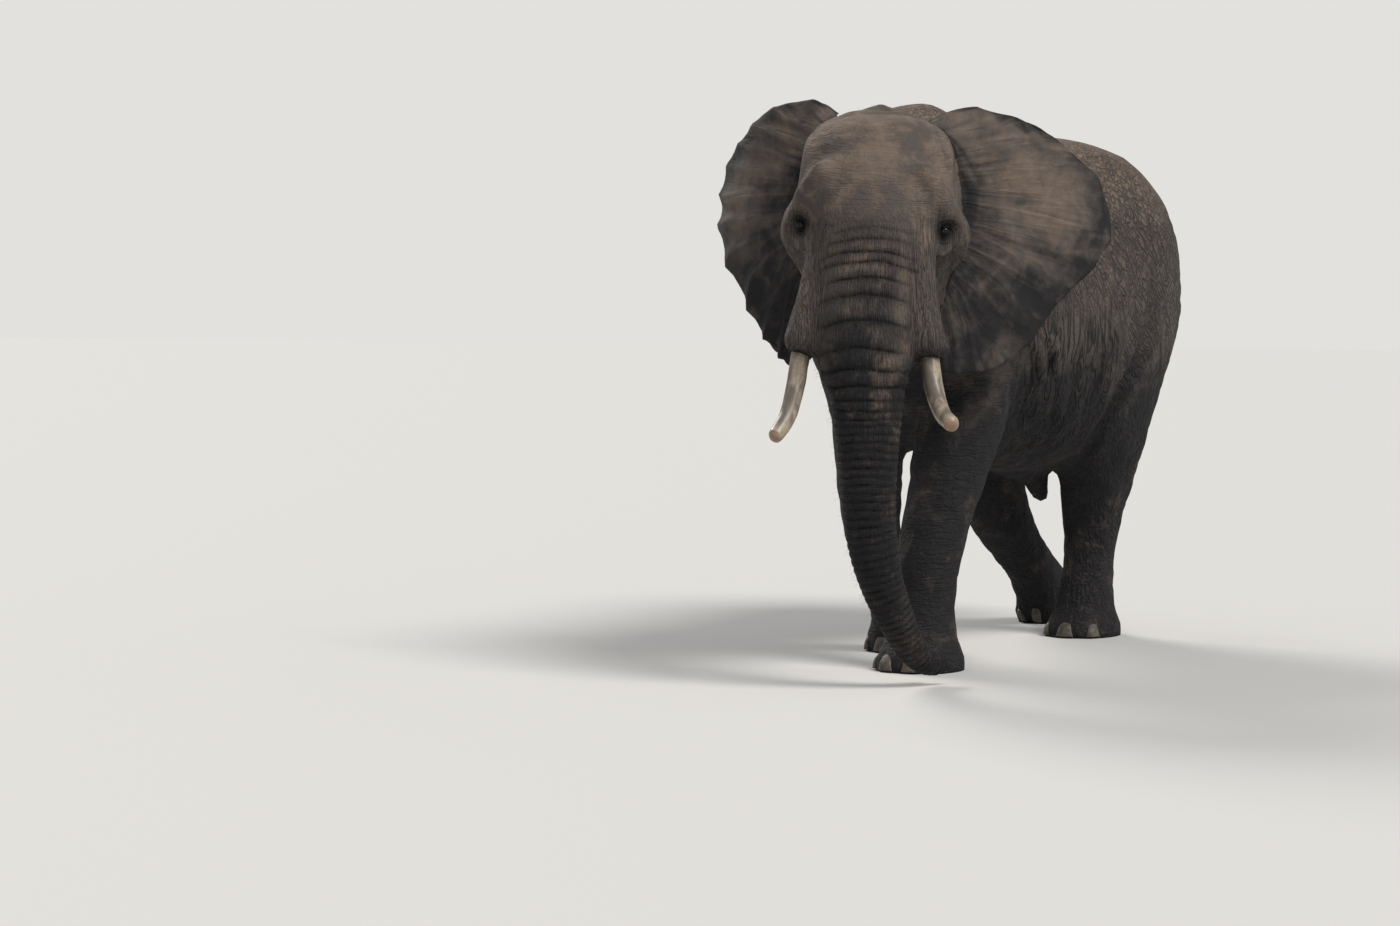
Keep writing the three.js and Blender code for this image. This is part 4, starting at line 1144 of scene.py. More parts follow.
def hide_detail(mesh):
    """Adds the folds to a whole hide, and stores what its material needs."""
    weight, edges = seam_weight(mesh)
    points = points_of(mesh)
    tops = ease(points[:, 2], 2.60, 2.80) * (np.abs(points[:, 1]) < 0.45)
    tops = np.maximum(tops, ease(to_head(points)[:, 2], 0.50, 0.56) * (stored(mesh, "ear") == 0))
    points = smoothed(smoothed(points, edges, weight * 0.55, 8), edges, tops * 0.6, 60)
    set_points(mesh, points)
    normals = normals_of(mesh)
    q = to_head(points)
    ear, tube = stored(mesh, "ear"), stored(mesh, "tube")
    s, t = stored(mesh, "ear_s"), stored(mesh, "ear_t")
    on_ear = np.clip(np.abs(ear), 0, 1) * (t > 0.02)
    _, y, z = points.T
    side = np.abs(q[:, 0])
    along = np.where(tube > 0, stored(mesh, "along"), z)
    skull = (1 - on_ear) * (1 - ease(q[:, 1], 0.45, 0.75)) * (z > 1.25) * (y < 0)

    # creases across the nose and round the trunk
    along = along + 0.9 * q[:, 0] ** 2 * (1 - tube) * ease(z, 1.40, 1.75)
    wander = 0.008 * noise(q * (5, 5, 5), 3) + 0.004 * noise(q * 14, 4)
    rise, _ = crease_profile(along + wander)
    ragged = side + 0.05 * noise(q * (6, 6, 11), 6)
    front = (1 - ease(ragged, 0.10, 0.29)) * ease(-q[:, 1], 0.08, 0.24)
    round_trunk = (1 - ease(z, 1.50, 1.72)) * ease(-q[:, 1], 0.10, 0.20)
    creased = np.maximum(tube, np.maximum(front, round_trunk) * (q[:, 2] < 0.12)) * (1 - on_ear)
    creased *= 1 - ease(z, 2.18, 2.42)
    depth = crease_depth(along) * (1 + 0.45 * noise(q * 9, 5))
    lift = creased * depth * (rise - 0.72)

    # folds that run down the flank and thigh, and level wrinkles of the legs
    on_body = (1 - on_ear) * (1 - tube) * (1 - skull)
    low_leg = 1 - ease(z, 0.75, 1.25)
    fade = ease(z, 0.0, 0.10)
    loose = (0.25 + 0.75 * ease(y, 0.0, 0.25) * (1 - ease(y, 0.9, 1.5)) * (1 - ease(z, 1.75, 2.1)))
    hang = billow(points * (4, 8.0, 1.9) + 0.35 * layered(points * 3, 11)[:, None], 7)
    hatch = billow(points * (9, 9, 7) + 0.5 * layered(points * 4, 12)[:, None], 8)
    fade *= 1 - 0.85 * ease(z, 2.35, 2.65)
    lift += on_body * fade * ((hang - 0.5) * 0.030 * loose * (1 - low_leg) + (hatch - 0.5) * 0.010)
    deep, sink = folded(points)
    lift -= on_body * sink

    # loose skin of the cheeks and the neck
    cheek = skull * ease(side, 0.17, 0.24) * (1 - ease(q[:, 2], 0.0, 0.18))
    pleat = billow(q * (26, 16, 3.2) + 0.3 * layered(q * 4, 13)[:, None], 9)
    lift += cheek * (pleat - 0.5) * 0.007 * (np.hypot(np.abs(q[:, 0]) - 0.37, q[:, 2]) > 0.09)
    crown = skull * ease(q[:, 2], 0.36, 0.46)
    lift += crown * (billow(q * (2.5, 9, 16), 15) - 0.5) * 0.010

    lift += ear_lift(q, s, t, ear, on_ear)
    points = points + normals * lift[:, None]
    for name, pulls in PULLS.items():
        for place, move, reach in pulls:
            sign = (EYE_SIDES[name], 1, 1)
            gap = np.linalg.norm(q - np.array(place) * sign * MM, axis=1) / (reach * MM)
            drawn = np.array(move) * sign * MM @ HEAD_TURN.T
            points += drawn * np.exp(-gap ** 2)[:, None]
    points[:, 2] = np.where(z < 0.004, z, np.maximum(points[:, 2], 0.0005))  # the soles stay flat

    inner, lid = np.zeros(len(points), bool), np.zeros(len(points))
    for name in EYE_SIDES:
        points, inside, edge = lid_shape(points, name)
        inner |= inside
        lid = np.maximum(lid, edge)
    set_points(mesh, points)

    # where the hide gets a dusting and painted light, and where it gets darker hide and painted shade
    above = normals[:, 2]
    roots = [tusk_axis(name)[20:80:3, :3] for name in TUSKS]
    tusk_gap = np.min([np.linalg.norm(points[:, None] - line, axis=-1).min(1) for line in roots], axis=0)
    # painted shade in hollows: in the long folds, round the tusks' roots, where the ears meet the head,
    # round the eyes and inside the slits
    hollow = np.maximum(deep * 0.35, (1 - ease(tusk_gap, 0.050, 0.085)) * (z < 1.9) * 0.9)
    hollow = np.maximum(hollow, on_ear * (1 - ease(t, 0.03, 0.14)) * ease(s, 0.02, 0.12) * 0.85)
    hollow = np.maximum(hollow, np.maximum(lid, inner))
    # darker hide and painted shade: darker towards the floor (dark legs, and painted shade near the ground),
    # painted shade on faces turned down, and darker low on the front of the face and along the whole trunk
    dark_hide_and_shade = (1 - ease(z, 1.0, 2.05)) * 0.95 + 0.35 * (1 - ease(above, -0.7, 0.1)) * (1 - skull)
    dark_hide_and_shade += skull * (1 - ease(side, 0.10, 0.25)) * (1 - ease(q[:, 2], -0.15, 0.2)) * 0.55
    dark_hide_and_shade = np.maximum(dark_hide_and_shade, tube)
    # painted light: the ears' upper middle is painted lighter, as where light falls on them, and less so on
    # the right ear; outside it the ears get painted shade
    shine = ease(q[:, 2], -0.45, 0.35) * (1 - ease(t, 0.70, 1.0)) * ease(t, 0.1, 0.4)
    shine *= np.where(q[:, 0] < 0, 0.7, 1.0)
    dark_hide_and_shade = dark_hide_and_shade * (1 - on_ear) + on_ear * (0.72 - 0.62 * shine)
    # a dusting on the upward faces of the back, which also stands in for painted light from above; the ears'
    # painted lit patch; a dusting on the face
    dust_and_light = ease(above, 0.05, 0.7) * ease(z, 1.7, 2.2) * 0.95 * (1 - on_ear) + on_ear * shine * 0.78
    dust_and_light += skull * (0.22 + 0.38 * ease(side, 0.14, 0.26)) * ease(q[:, 2], -0.30, 0.15)
    dust_and_light = np.where(skull * (1 - on_ear) > 0, np.minimum(dust_and_light, 0.56), dust_and_light) * (1 - creased * 0.5)
    leg = 1 - ease(z, 0.9, 1.35)
    shoulder = (1 - ease(y, 0.05, 0.30)) * (1 - ease(z, 1.6, 1.95)) * (y > -0.75)
    level = np.maximum(leg * (1 - 0.6 * ease(y, 1.3, 1.6)), shoulder) * (1 - tube) * (1 - skull)
    brow = skull * ease(q[:, 2], -0.05, 0.15)
    thigh = ease(y, 1.45, 1.75) * ease(z, 0.35, 0.7) * (1 - ease(z, 1.5, 1.9))
    flank = ease(y, 0.15, 0.35) * (1 - ease(y, 1.1, 1.5)) * (1 - ease(z, 1.75, 2.05))
    upright = np.maximum(np.maximum(thigh, flank), cheek) * (1 - level)
    marks = {
        "ridge": np.where(creased > 0.3, rise, 0.6), "creased": creased, "on_ear": on_ear,
        "on_face": skull, "level": np.maximum(level, brow), "upright": upright, "hollow": hollow,
        "dark_hide_and_shade": dark_hide_and_shade, "dust_and_light": dust_and_light,
    }
    for name, values in marks.items():
        store(mesh, name, np.clip(values, 0, 1))


# The relief of the hide's material.
GROOVE_DEPTH, SMALL_DEPTH, FINE_DEPTH = 0.0120, 0.0068, 0.0008
GRAIN_HEIGHT, PLEAT_HEIGHT = 0.0008, 0.018


def paint_hide(look):
    """Wrinkles that run as the hide's marks say, then blotches, a dusting with painted light, and painted
    shade in the creases, round the eyes and in other hollows.
    """
    paint = Paint("hide")
    spot = paint.place()
    on_ear, on_face, creased, ridge, level, upright, hollow, dark_hide_and_shade, dusty_and_lit = (
        paint.stored(name) for name in ("on_ear", "on_face", "creased", "ridge", "level", "upright",
                                        "hollow", "dark_hide_and_shade", "dust_and_light"))
    fore = paint.creases((36, 36, 9), turn=(0.62, 0, 0))
    aft = paint.creases((34, 34, 10), turn=(-0.70, 0.1, 0), about=(3, 3, 3))
    net = fore.most(aft * 0.8)
    down = paint.creases((27, 27, 3.4), bent=0.45)
    across = paint.creases((7, 7, 46), bent=0.45)
    turn = (0, 0, HEAD_YAW)
    pleat = paint.creases((88, 40, 7), turn=turn, bent=0.5)
    rings = paint.creases((9, 9, 80), turn=turn, bent=0.5)
    fine = paint.creases((130, 130, 110), soft=0.4, bent=0.2)
    plain = (1 - on_ear) * (1 - creased)
    groove = net * (1 - level) * (1 - upright) * 0.85 + down.most(net * 0.4) * upright
    groove = groove + across.most(net * 0.6) * level * 0.5
    groove = groove * plain * (1 - on_face * 0.5)
    small = (pleat * 0.75).most(rings * (0.75 - on_face * 0.50)) * creased + pleat * on_face * upright * 0.7
    small = small * (1 - on_ear)
    grain = paint.noise(spot, 180.0, 2.0)
    vein_spot = paint.add("ShaderNodeCombineXYZ", None,
                          {0: paint.stored("ear_s") * 30.0, 1: paint.stored("ear_t") * 2.6})
    pleats = paint.noise(vein_spot, 1.0, 2.0, 0.5, 0.6)
    veins = paint.creases((4, 4, 4), soft=0.6, bent=1.2)
    height = groove * -GROOVE_DEPTH - small * SMALL_DEPTH - fine * FINE_DEPTH + grain * GRAIN_HEIGHT
    height = height + pleats * on_ear * PLEAT_HEIGHT
    blotch = paint.noise(spot, 3.1, 4.0, 0.6, 0.8)
    mottle = paint.noise(spot, 11.0, 5.0, 0.7, 0.5)
    # painted light and shade of the ears' pleats: lighter where they stand up, darker in their dips
    streak = (pleats - 0.5) * on_ear
    # the dark hide blend carries the painted shade of the mark above, with random blotches and mottles
    dark = (dark_hide_and_shade - (blotch - 0.5) * 1.6 + (mottle - 0.5) * 1.2 - streak).ease(0.05, 0.95)
    base = paint.mix(look.hide_colour, look.shade_colour, dark)
    patchy = 1 + on_face
    # lighter towards the dusting colour: a dusting, and painted light on upward faces and on the ears' lit
    # patch
    light = dusty_and_lit + (blotch - 0.5) * 1.8 * patchy + (mottle - 0.5) * (2.0 + on_face * 1.4) + streak * 1.6
    light = (light - (1 - veins) * on_ear * 0.20).ease(0.05, 1.35)
    base = paint.mix(base, look.dust_and_light_colour, (light * (0.85 - on_ear * 0.2 - on_face * 0.20)).clamp())
    # painted shade in the bottoms of the wrinkles and creases, standing in for the shade that the bumps
    # would cast
    deep = groove ** 2 * 0.85 + small ** 2 * 0.65 + fine * 0.11
    base = paint.mix(base, look.crease_shade_colour, deep.clamp())
    # painted shade in the creases across the nose and round the trunk
    base = paint.mix(base, look.crease_shade_colour, ((1 - ridge) * creased * 1.5).clamp())
    # painted shade round the eyes, in the long folds, round the tusks' roots and where the ears meet the
    # head
    base = paint.mix(base, look.hollow_shade_colour, hollow)
    return paint.finish(base, 0.82, height, **{"Specular IOR Level": 0.25})


# ---------------------------------------------------------------- eyes, tusks, nails and hair


def lathe(profile, sides):
    """A closed shape round Z from rows of radius and height, the first and last at the poles."""
    angle = round_angles(sides)
    rings = [[(r * math.cos(a), r * math.sin(a), h) for a in angle] for r, h in profile[1:-1]]
    points = [(0, 0, profile[0][1]), *itertools.chain(*rings), (0, 0, profile[-1][1])]
    last = len(points) - 1
    faces = []
    for i in range(sides):
        j = (i + 1) % sides
        faces.append((0, 1 + i, 1 + j))
        for k in range(len(rings) - 1):
            a = 1 + k * sides
            faces.append((a + i, a + sides + i, a + sides + j, a + j))
        a = last - sides
        faces.append((last, a + j, a + i))
    return np.array(points), faces


def smooth(mesh):
    mesh.shade_smooth()
    return mesh


def eye_mesh(side):
    """An eyeball with a domed cornea over its iris."""
    steps = np.linspace(0, np.pi, 33)
    profile = []
    for angle in steps:
        dome = 0.0022 * (1 - ease(np.array(angle), 0.30, 0.62))
        profile.append(((EYE_RADIUS + dome) * math.sin(angle), (EYE_RADIUS + dome) * math.cos(angle)))
    points, faces = lathe(profile, 48)
    _, up, out = eye_axes(side)
    gaze = out * 0.9 + HEAD_TURN @ (0, -0.35, -0.05)
    gaze /= np.linalg.norm(gaze)
    cross = np.cross(up, gaze)
    cross /= np.linalg.norm(cross)
    turn = np.stack([cross, np.cross(gaze, cross), gaze], axis=1)
    angle = np.arctan2(np.hypot(points[:, 0], points[:, 1]), points[:, 2])
    mesh = mesh_from(f"eye_{side}_ball", points @ turn.T + EYES[side] + SHIFT, faces)
    store(mesh, "from_gaze", angle)
    return smooth(outward(mesh))


def tusk_mesh(side):
    """A tusk with growth lines and a broken, rounded end."""
    axis = tusk_axis(side)
    length = lengths_along(axis)
    start = length[-1] - TUSK_TIP
    at = np.r_[np.arange(0, start, 0.012), start + TUSK_TIP * np.linspace(0.1, 1, 9)]
    path = sampled(axis, length, at)
    radius = path[:, 3]
    end = length[-1] - at
    full = np.interp(length[-1] - TUSK_END, at, radius)
    blunt = np.sqrt(np.clip(1 - (1 - end / TUSK_END) ** 2.6, 0.03, 1))
    radius = np.where(end < TUSK_END, full * blunt, radius)
    ring = rays_round(path, TUSK_SIDES)
    points = (path[:, None, :3] + ring * radius[:, None, None]).reshape(-1, 3)
    growth = 0.0016 * noise(points * (20, 20, 9), 31) + 0.0006 * noise(points * 55, 32)
    points = points + ring.reshape(-1, 3) * growth[:, None]
    mesh = mesh_from(f"tusk_{side}_ivory", points + SHIFT, tube_faces(points, TUSK_SIDES))
    store(mesh, "from_tip", np.repeat(end, TUSK_SIDES))
    # the cosine round each tusk, used for painted shade on one side
    store(mesh, "round", np.tile(np.cos(round_angles(TUSK_SIDES)), len(at)))
    return smooth(outward(mesh))


def foot_front(name, heights, degrees):
    """Where the hide is at heights of a foot, in directions from straight ahead."""
    turn = np.radians(degrees)
    middle = legs_at[name](heights)[:2]
    centres = np.stack([middle[0], middle[1], heights], axis=1)
    directions = np.stack([np.sin(turn), -np.cos(turn), turn * 0], axis=1)
    low, high = np.zeros(len(turn)), np.full(len(turn), 0.5)
    for _ in range(16):
        reach = (low + high) / 2
        inside = leg(centres + directions * reach[:, None], name) < 0
        low, high = np.where(inside, reach, low), np.where(inside, high, reach)
    return centres + directions * low[:, None], directions


def nail_mesh(name):
    """The nails of one foot: rounded, arched plates of horn, thicker at the bottom edge."""
    points, faces = [], []
    across, down = 14, 9
    width = across + 1
    v, u = np.mgrid[0:down + 1, 0:width].astype(float)
    v, u = v.ravel() / down, u.ravel() / across * 2 - 1
    for number, degrees in enumerate(NAILS[name]):
        size = 1.0 - 0.15 * (number in (0, len(NAILS[name]) - 1))
        top = NAIL_TOP * size * (1 - 0.9 * np.abs(u) ** 3.2) ** 0.5
        heights = NAIL_FOOT + (top - NAIL_FOOT) * (1 - v)
        spread = np.degrees(u * NAIL_HALF_WIDTH * size * (0.86 + 0.14 * v) / FOOT_RADIUS)
        place, out = foot_front(name, heights, degrees + spread)
        swell = (0.004 + 0.016 * v ** 0.7) * (1 - 0.55 * u * u) - 0.004 * (1 - v) ** 4
        layers = [place + out * swell[:, None], place - out * 0.014]
        base, count = len(points) * 2 * len(u), len(u)
        points.append(np.concatenate(layers))
        for j in range(down):
            for i in range(across):
                a = base + j * width + i
                faces.append((a, a + width, a + width + 1, a + 1))
                faces.append((a + count, a + count + 1, a + count + width + 1, a + count + width))
        rim = [j * width for j in range(down)] + [down * width + i for i in range(across)]
        rim += [j * width + across for j in range(down, 0, -1)] + list(range(across, 0, -1))
        for a, b in zip(rim, rim[1:] + rim[:1]):
            faces.append((base + a, base + b, base + b + count, base + a + count))
    mesh = mesh_from(f"nails_{name}", np.concatenate(points) + SHIFT, faces)
    return smooth(outward(mesh))


def strand_nodes():
    """Geometry nodes that stand a tapering, bent strand on each point of a mesh."""
    tree = bpy.data.node_groups.new("strands", "GeometryNodeTree")
    sockets = {}
    for name, kind in (("Roots", "Geometry"), ("Thickness", "Float"), ("Bend", "Float"), ("Seed", "Int"),
                       ("Material", "Material")):
        sockets[name] = tree.interface.new_socket(name, in_out="INPUT", socket_type=f"NodeSocket{kind}")
    tree.interface.new_socket("Strands", in_out="OUTPUT", socket_type="NodeSocketGeometry")
    graph = Graph(tree)
    entry = tree.nodes.new("NodeGroupInput")
    given = {name: Wire(graph, entry.outputs[name]) for name in sockets}
    cone = graph.add("GeometryNodeMeshCone", {"fill_type": "NGON"},
                     {"Vertices": 3, "Side Segments": 5, "Radius Top": given["Thickness"] * 0.2,
                      "Radius Bottom": given["Thickness"], "Depth": 1.0})
    spot = graph.add("GeometryNodeInputPosition")
    cone = graph.add("GeometryNodeStoreNamedAttribute", {"data_type": "FLOAT_VECTOR"},
                     {"Geometry": cone, "Name": "patch", 3: spot})
    height = graph.add("ShaderNodeSeparateXYZ", None, {0: spot}, output=2)
    bow = graph.add("ShaderNodeCombineXYZ", None, {0: height * height * given["Bend"]})
    cone = graph.add("GeometryNodeSetPosition", None, {"Geometry": cone, "Offset": bow})
    aim = graph.add("GeometryNodeInputNamedAttribute", {"data_type": "FLOAT_VECTOR"}, {"Name": "aim"})
    tall = graph.add("GeometryNodeInputNamedAttribute", {"data_type": "FLOAT"}, {"Name": "tall"})
    spin = graph.add("FunctionNodeRandomValue", {"data_type": "FLOAT"},
                     {2: 0.0, 3: math.tau, "Seed": given["Seed"]}, output=1)
    spin = graph.add("FunctionNodeAxisAngleToRotation", None, {"Axis": (0, 0, 1), "Angle": spin})
    turn = graph.add("FunctionNodeAlignRotationToVector", {"axis": "Z"}, {"Vector": aim})
    turn = graph.add("FunctionNodeRotateRotation", {"rotation_space": "LOCAL"},
                     {"Rotation": turn, "Rotate By": spin})
    made = graph.add("GeometryNodeInstanceOnPoints", None,
                     {"Points": given["Roots"], "Instance": cone, "Rotation": turn, "Scale": tall})
    made = graph.add("GeometryNodeRealizeInstances", None, {"Geometry": made})
    made = graph.add("GeometryNodeSetMaterial", None, {"Geometry": made, "Material": given["Material"]})
    graph.links.new(made.socket, tree.nodes.new("NodeGroupOutput").inputs[0])
    return tree, {name: socket.identifier for name, socket in sockets.items()}


def strands(name, roots, aims, lengths, unwrap, thickness, bend, material):
    """A mesh of hairs: where each stands, where it points, how long it is, its place on the unwrap."""
    tree, inputs = strand_nodes()
    base = mesh_from(name, roots, [])
    for key, values in (("aim", aims), ("root", np.c_[unwrap, np.zeros(len(roots))])):
        attribute = base.attributes.new(key, "FLOAT_VECTOR", "POINT")
        attribute.data.foreach_set("vector", np.asarray(values, float).ravel())
    store(base, "tall", lengths)
    grower = add_object("grower", base)
    modifier = grower.modifiers.new("strands", "NODES")
    modifier.node_group = tree
    for key, value in (("Thickness", thickness), ("Bend", bend), ("Seed", 7), ("Material", material)):
        modifier[inputs[key]] = value
    mesh = bpy.data.meshes.new_from_object(grower.evaluated_get(bpy.context.evaluated_depsgraph_get()))
    bpy.data.objects.remove(grower)
    root, patch = (triples(mesh.attributes[key].data, "vector") for key in ("root", "patch"))
    corner = np.empty(len(mesh.loops), int)
    mesh.loops.foreach_get("vertex_index", corner)
    flat = root[:, :2] + HAIR_PATCH * np.c_[0.5 + patch[:, 0] / (2 * thickness), patch[:, 2]]
    layer = mesh.uv_layers.new(name="OFBake")
    layer.uv.foreach_set("vector", flat[corner].ravel())
    return smooth(mesh)


def round_map(points):
    """Places on an unwrap: the angle round the vertical, and the height."""
    middle, height = points.mean(0), points[:, 2]
    turn = np.arctan2(points[:, 0] - middle[0], middle[1] - points[:, 1]) / (2 * np.pi) + 0.5
    rise = (height - height.min()) / (height.max() - height.min())
    return np.c_[turn, rise] * 0.99


TAIL_HAIRS = 420
HAIR_END = 0.815  # the height that no hair of the tail reaches below
LASHES = 30  # on each eye


def tail_hair(look):
    """Wiry hair in two rows along the end of the tail, and a brush at its tip."""
    rng = np.random.default_rng(5)
    count = TAIL_HAIRS
    knots = spline(np.array(TAIL, float) * MM, np.linspace(0, 1, 400))
    height = 1.195 + 0.235 * rng.random(count) ** 1.7
    path = np.stack([np.interp(height, knots[::-1, 2], knots[::-1, i]) for i in range(4)], axis=1)
    row = np.where(rng.random(count) < 0.5, 1.0, -1.0)
    spread = rng.normal(0, 0.35, count)
    away = np.stack([np.sin(spread), row * np.cos(spread), spread * 0], axis=1)
    roots = np.c_[path[:, :2], height] + away * (path[:, 3:] * 0.8)
    lengths = np.minimum(look.tail_hair * rng.uniform(0.55, 1.0, count), height - HAIR_END)
    aims = away * 0.13 + rng.normal(0, 0.035, (count, 3)) + (0, 0, -1)
    return roots, aims, lengths


def lash_hair(look):
    """Lashes along the upper lid of each eye."""
    rng = np.random.default_rng(6)
    roots, aims = [], []
    for side in EYE_SIDES:
        slit, up, out = eye_axes(side)
        for along in np.linspace(-0.026, 0.027, LASHES) + rng.normal(0, 0.0007, LASHES):
            rise = 0.020 * math.sqrt(1 - (along / 0.036) ** 2)
            front = EYE_RADIUS + 0.002 - abs(along) * 0.25
            roots.append(EYES[side] + slit * along + up * rise + out * front)
            aims.append(out * 0.8 + slit * along * 14 - up * rng.uniform(0.35, 0.65))
    return np.array(roots), np.array(aims), look.lash_length * rng.uniform(0.7, 1.0, len(roots))


def bristles(look, hide):
    """Sparse bristles of the crown, the chin and the trunk, where the hide has them."""
    rng = np.random.default_rng(8)
    points, normals, tube = points_of(hide), normals_of(hide), stored(hide, "tube")
    q = to_head(points - SHIFT)
    face = (stored(hide, "on_ear") == 0) & (q[:, 1] < 0.6) & (points[:, 1] - SHIFT[1] < -0.2)
    chance = 0.035 * (q[:, 2] > 0.42) + 0.05 * ((q[:, 2] < -0.5) & (tube == 0)) + 0.06 * tube
    chosen = np.flatnonzero((rng.random(len(points)) < chance) & face & (points[:, 2] > 0.15))
    aims = normals[chosen] + rng.normal(0, 0.25, (len(chosen), 3)) + (0, 0, -0.35)
    return points[chosen] - SHIFT, aims, look.bristle_length * rng.uniform(0.5, 1.0, len(chosen))


def paint_hair(look):
    paint = Paint("hair")
    tone = paint.noise(paint.place(), 60.0, 2.0)
    return paint.finish(paint.mix(look.hair_colour, colour(52, 46, 42), tone * 0.6), 0.45)


def paint_eye(look):
    paint = Paint("eye")
    angle = paint.stored("from_gaze")
    streak = paint.noise(paint.place(scale=(900, 900, 900)), 1.0, 2.0)
    iris = paint.mix(look.iris_colour, colour(70, 46, 26), streak * 0.5)
    white = paint.mix(colour(34, 26, 22), colour(18, 14, 13), angle.ease(0.5, 1.1))
    base = paint.mix(iris, white, angle.ease(0.56, 0.64))
    base = paint.mix(colour(6, 5, 5), base, angle.ease(0.36, 0.42))
    return paint.finish(base, 0.12, **{"Coat Weight": 0.15, "Specular IOR Level": 0.3})


def paint_ivory(look):
    paint = Paint("ivory")
    tip, turn = paint.stored("from_tip"), paint.stored("round")
    spot = paint.place()
    stain = paint.noise(paint.place(scale=(13, 13, 4)), 1.0, 5.0, 0.62, 0.8)
    speck = paint.noise(spot, 70.0, 4.0, 0.6)
    base = paint.mix(look.ivory_colour, colour(150, 136, 118), speck.ease(0.42, 0.68))
    # grey stains, plus painted shade that makes one side of each tusk greyer
    grey = (stain + turn * 0.10).ease(0.40, 0.62) * tip.ease(0.02, 0.10)
    base = paint.mix(base, colour(92, 84, 78), grey * 0.85)
    base = paint.mix(base, colour(128, 98, 72), (tip + stain * 0.05).ease(0.065, 0.020) * 0.8)
    base = paint.mix(base, colour(64, 54, 48), tip.ease(0.40, 0.60) * 0.8)
    return paint.finish(base, 0.40, stain * 0.0008 + speck * 0.0005)


def paint_nail(look):
    paint = Paint("nail")
    spot = paint.place()
    grow = paint.noise(paint.place(scale=(9, 9, 120)), 1.0, 3.0)
    worn = paint.noise(spot, 30.0, 4.0, 0.6)
    base = paint.mix(look.horn_colour, colour(60, 54, 48), worn.ease(0.4, 0.65))
    base = paint.mix(base, colour(44, 40, 37), grow.ease(0.5, 0.7) * 0.5)
    return paint.finish(base, 0.62, grow * 0.0016 + worn * 0.0008)


def paint_stage():
    paint = Paint("stage")
    return paint.finish(colour(193, 192, 190), 0.95)


# ---------------------------------------------------------------- the tools


def shade(name, about, red, green, blue):
    """A colour that the user can change."""
    return bpy.props.FloatVectorProperty(
        name=name, description=about, default=colour(red, green, blue), size=4, min=0, max=1,
        subtype="COLOR")


def measure(name, about, metres):
    """A size that the user can change."""
    return bpy.props.FloatProperty(name=name, description=about, default=metres, min=0.001,
                                   unit="LENGTH", subtype="DISTANCE")


class ElephantSizes(bpy.types.PropertyGroup):
    """Sizes and colours that a user would change."""

    hide_colour: shade("Hide", "Bare grey hide", 84, 77, 73)
    # also the colour of painted shade towards the floor, on faces turned down and on the ears outside their
    # painted lit patch
    shade_colour: shade("Dark hide", "Hide of the legs, the belly, the trunk and the blotches", 35, 34, 36)
    # also the colour of painted light on upward faces and on the ears' lit patch
    dust_and_light_colour: shade("Dust", "Dust on the back, the ears and the brow", 128, 111, 97)
    # painted shade in the bottoms of the creases
    crease_shade_colour: shade("Creases", "Bottoms of the creases", 19, 18, 19)
    # painted shade round the eyes, in the long folds, round the tusks' roots and where the ears meet the
    # head
    hollow_shade_colour: shade("Lids", "Lids and the deepest folds", 20, 18, 18)
    iris_colour: shade("Iris", "Rim of the pupil", 36, 23, 15)
    ivory_colour: shade("Ivory", "Clean ivory of the tusks", 168, 154, 134)
    horn_colour: shade("Horn", "Nails of the feet", 92, 83, 72)
    hair_colour: shade("Hair", "Hair of the tail, the lashes and the bristles", 20, 18, 18)
    tail_hair: measure("Tail hair", "The longest hair of the tail", 0.42)
    lash_length: measure("Lashes", "The longest lash", 0.050)
    bristle_length: measure("Bristles", "The longest bristle of the head and trunk", 0.045)


def dress(name, mesh, material, replaced=()):
    """Makes a piece of the model ride with the frame."""
    piece = bpy.data.objects.get(name) or add_object(name, mesh)
    mesh.name = name
    mesh.materials.clear()
    mesh.materials.append(material)
    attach(piece, "root")
    if replaced:
        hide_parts(*replaced)
    return piece


FLESH_NODES = ["torso", "neck", "head", "jaw", "trunk_upper", "trunk_middle", "trunk_lower",
               "trunk_tip", "ear_left", "ear_right", "foreleg_left", "forefoot_left",
               "foreleg_right", "forefoot_right", "hindleg_left", "hindfoot_left",
               "hindleg_right", "hindfoot_right", "sheath", "tail"]


class ELEPHANT_OT_hide(bpy.types.Operator):
    """Make the whole hide, with its ears, trunk and tail"""

    bl_idname = "elephant.hide"
    bl_label = "Hide"

    def execute(self, context):
        mesh = body_mesh()
        attach_trunk(mesh)
        for name in EARS:
            mesh = unite(mesh, ear_mesh(name))
        mesh = drop_fins(unite(mesh, tail_mesh()))
        hide_detail(mesh)
        set_points(mesh, points_of(mesh) + SHIFT)
        dress("hide", smooth(mesh), paint_hide(context.scene.elephant_sizes), FLESH_NODES)
        return {"FINISHED"}


class ELEPHANT_OT_eyes(bpy.types.Operator):
    """Make the two eyeballs"""

    bl_idname = "elephant.eyes"
    bl_label = "Eyes"

    def execute(self, context):
        material = paint_eye(context.scene.elephant_sizes)
        for side in EYE_SIDES:
            dress(f"eyeball_{side}", eye_mesh(side), material, [f"eye_{side}"])
        return {"FINISHED"}


class ELEPHANT_OT_tusks(bpy.types.Operator):
    """Make the two tusks"""

    bl_idname = "elephant.tusks"
    bl_label = "Tusks"

    def execute(self, context):
        material = paint_ivory(context.scene.elephant_sizes)
        for side in TUSKS:
            dress(f"ivory_{side}", tusk_mesh(side), material, [f"tusk_{side}"])
        return {"FINISHED"}


class ELEPHANT_OT_nails(bpy.types.Operator):
    """Make the nails of the four feet"""

    bl_idname = "elephant.nails"
    bl_label = "Nails"

    def execute(self, context):
        material = paint_nail(context.scene.elephant_sizes)
        for name in NAILS:
            dress(f"nails_{name}", nail_mesh(name), material)
        return {"FINISHED"}


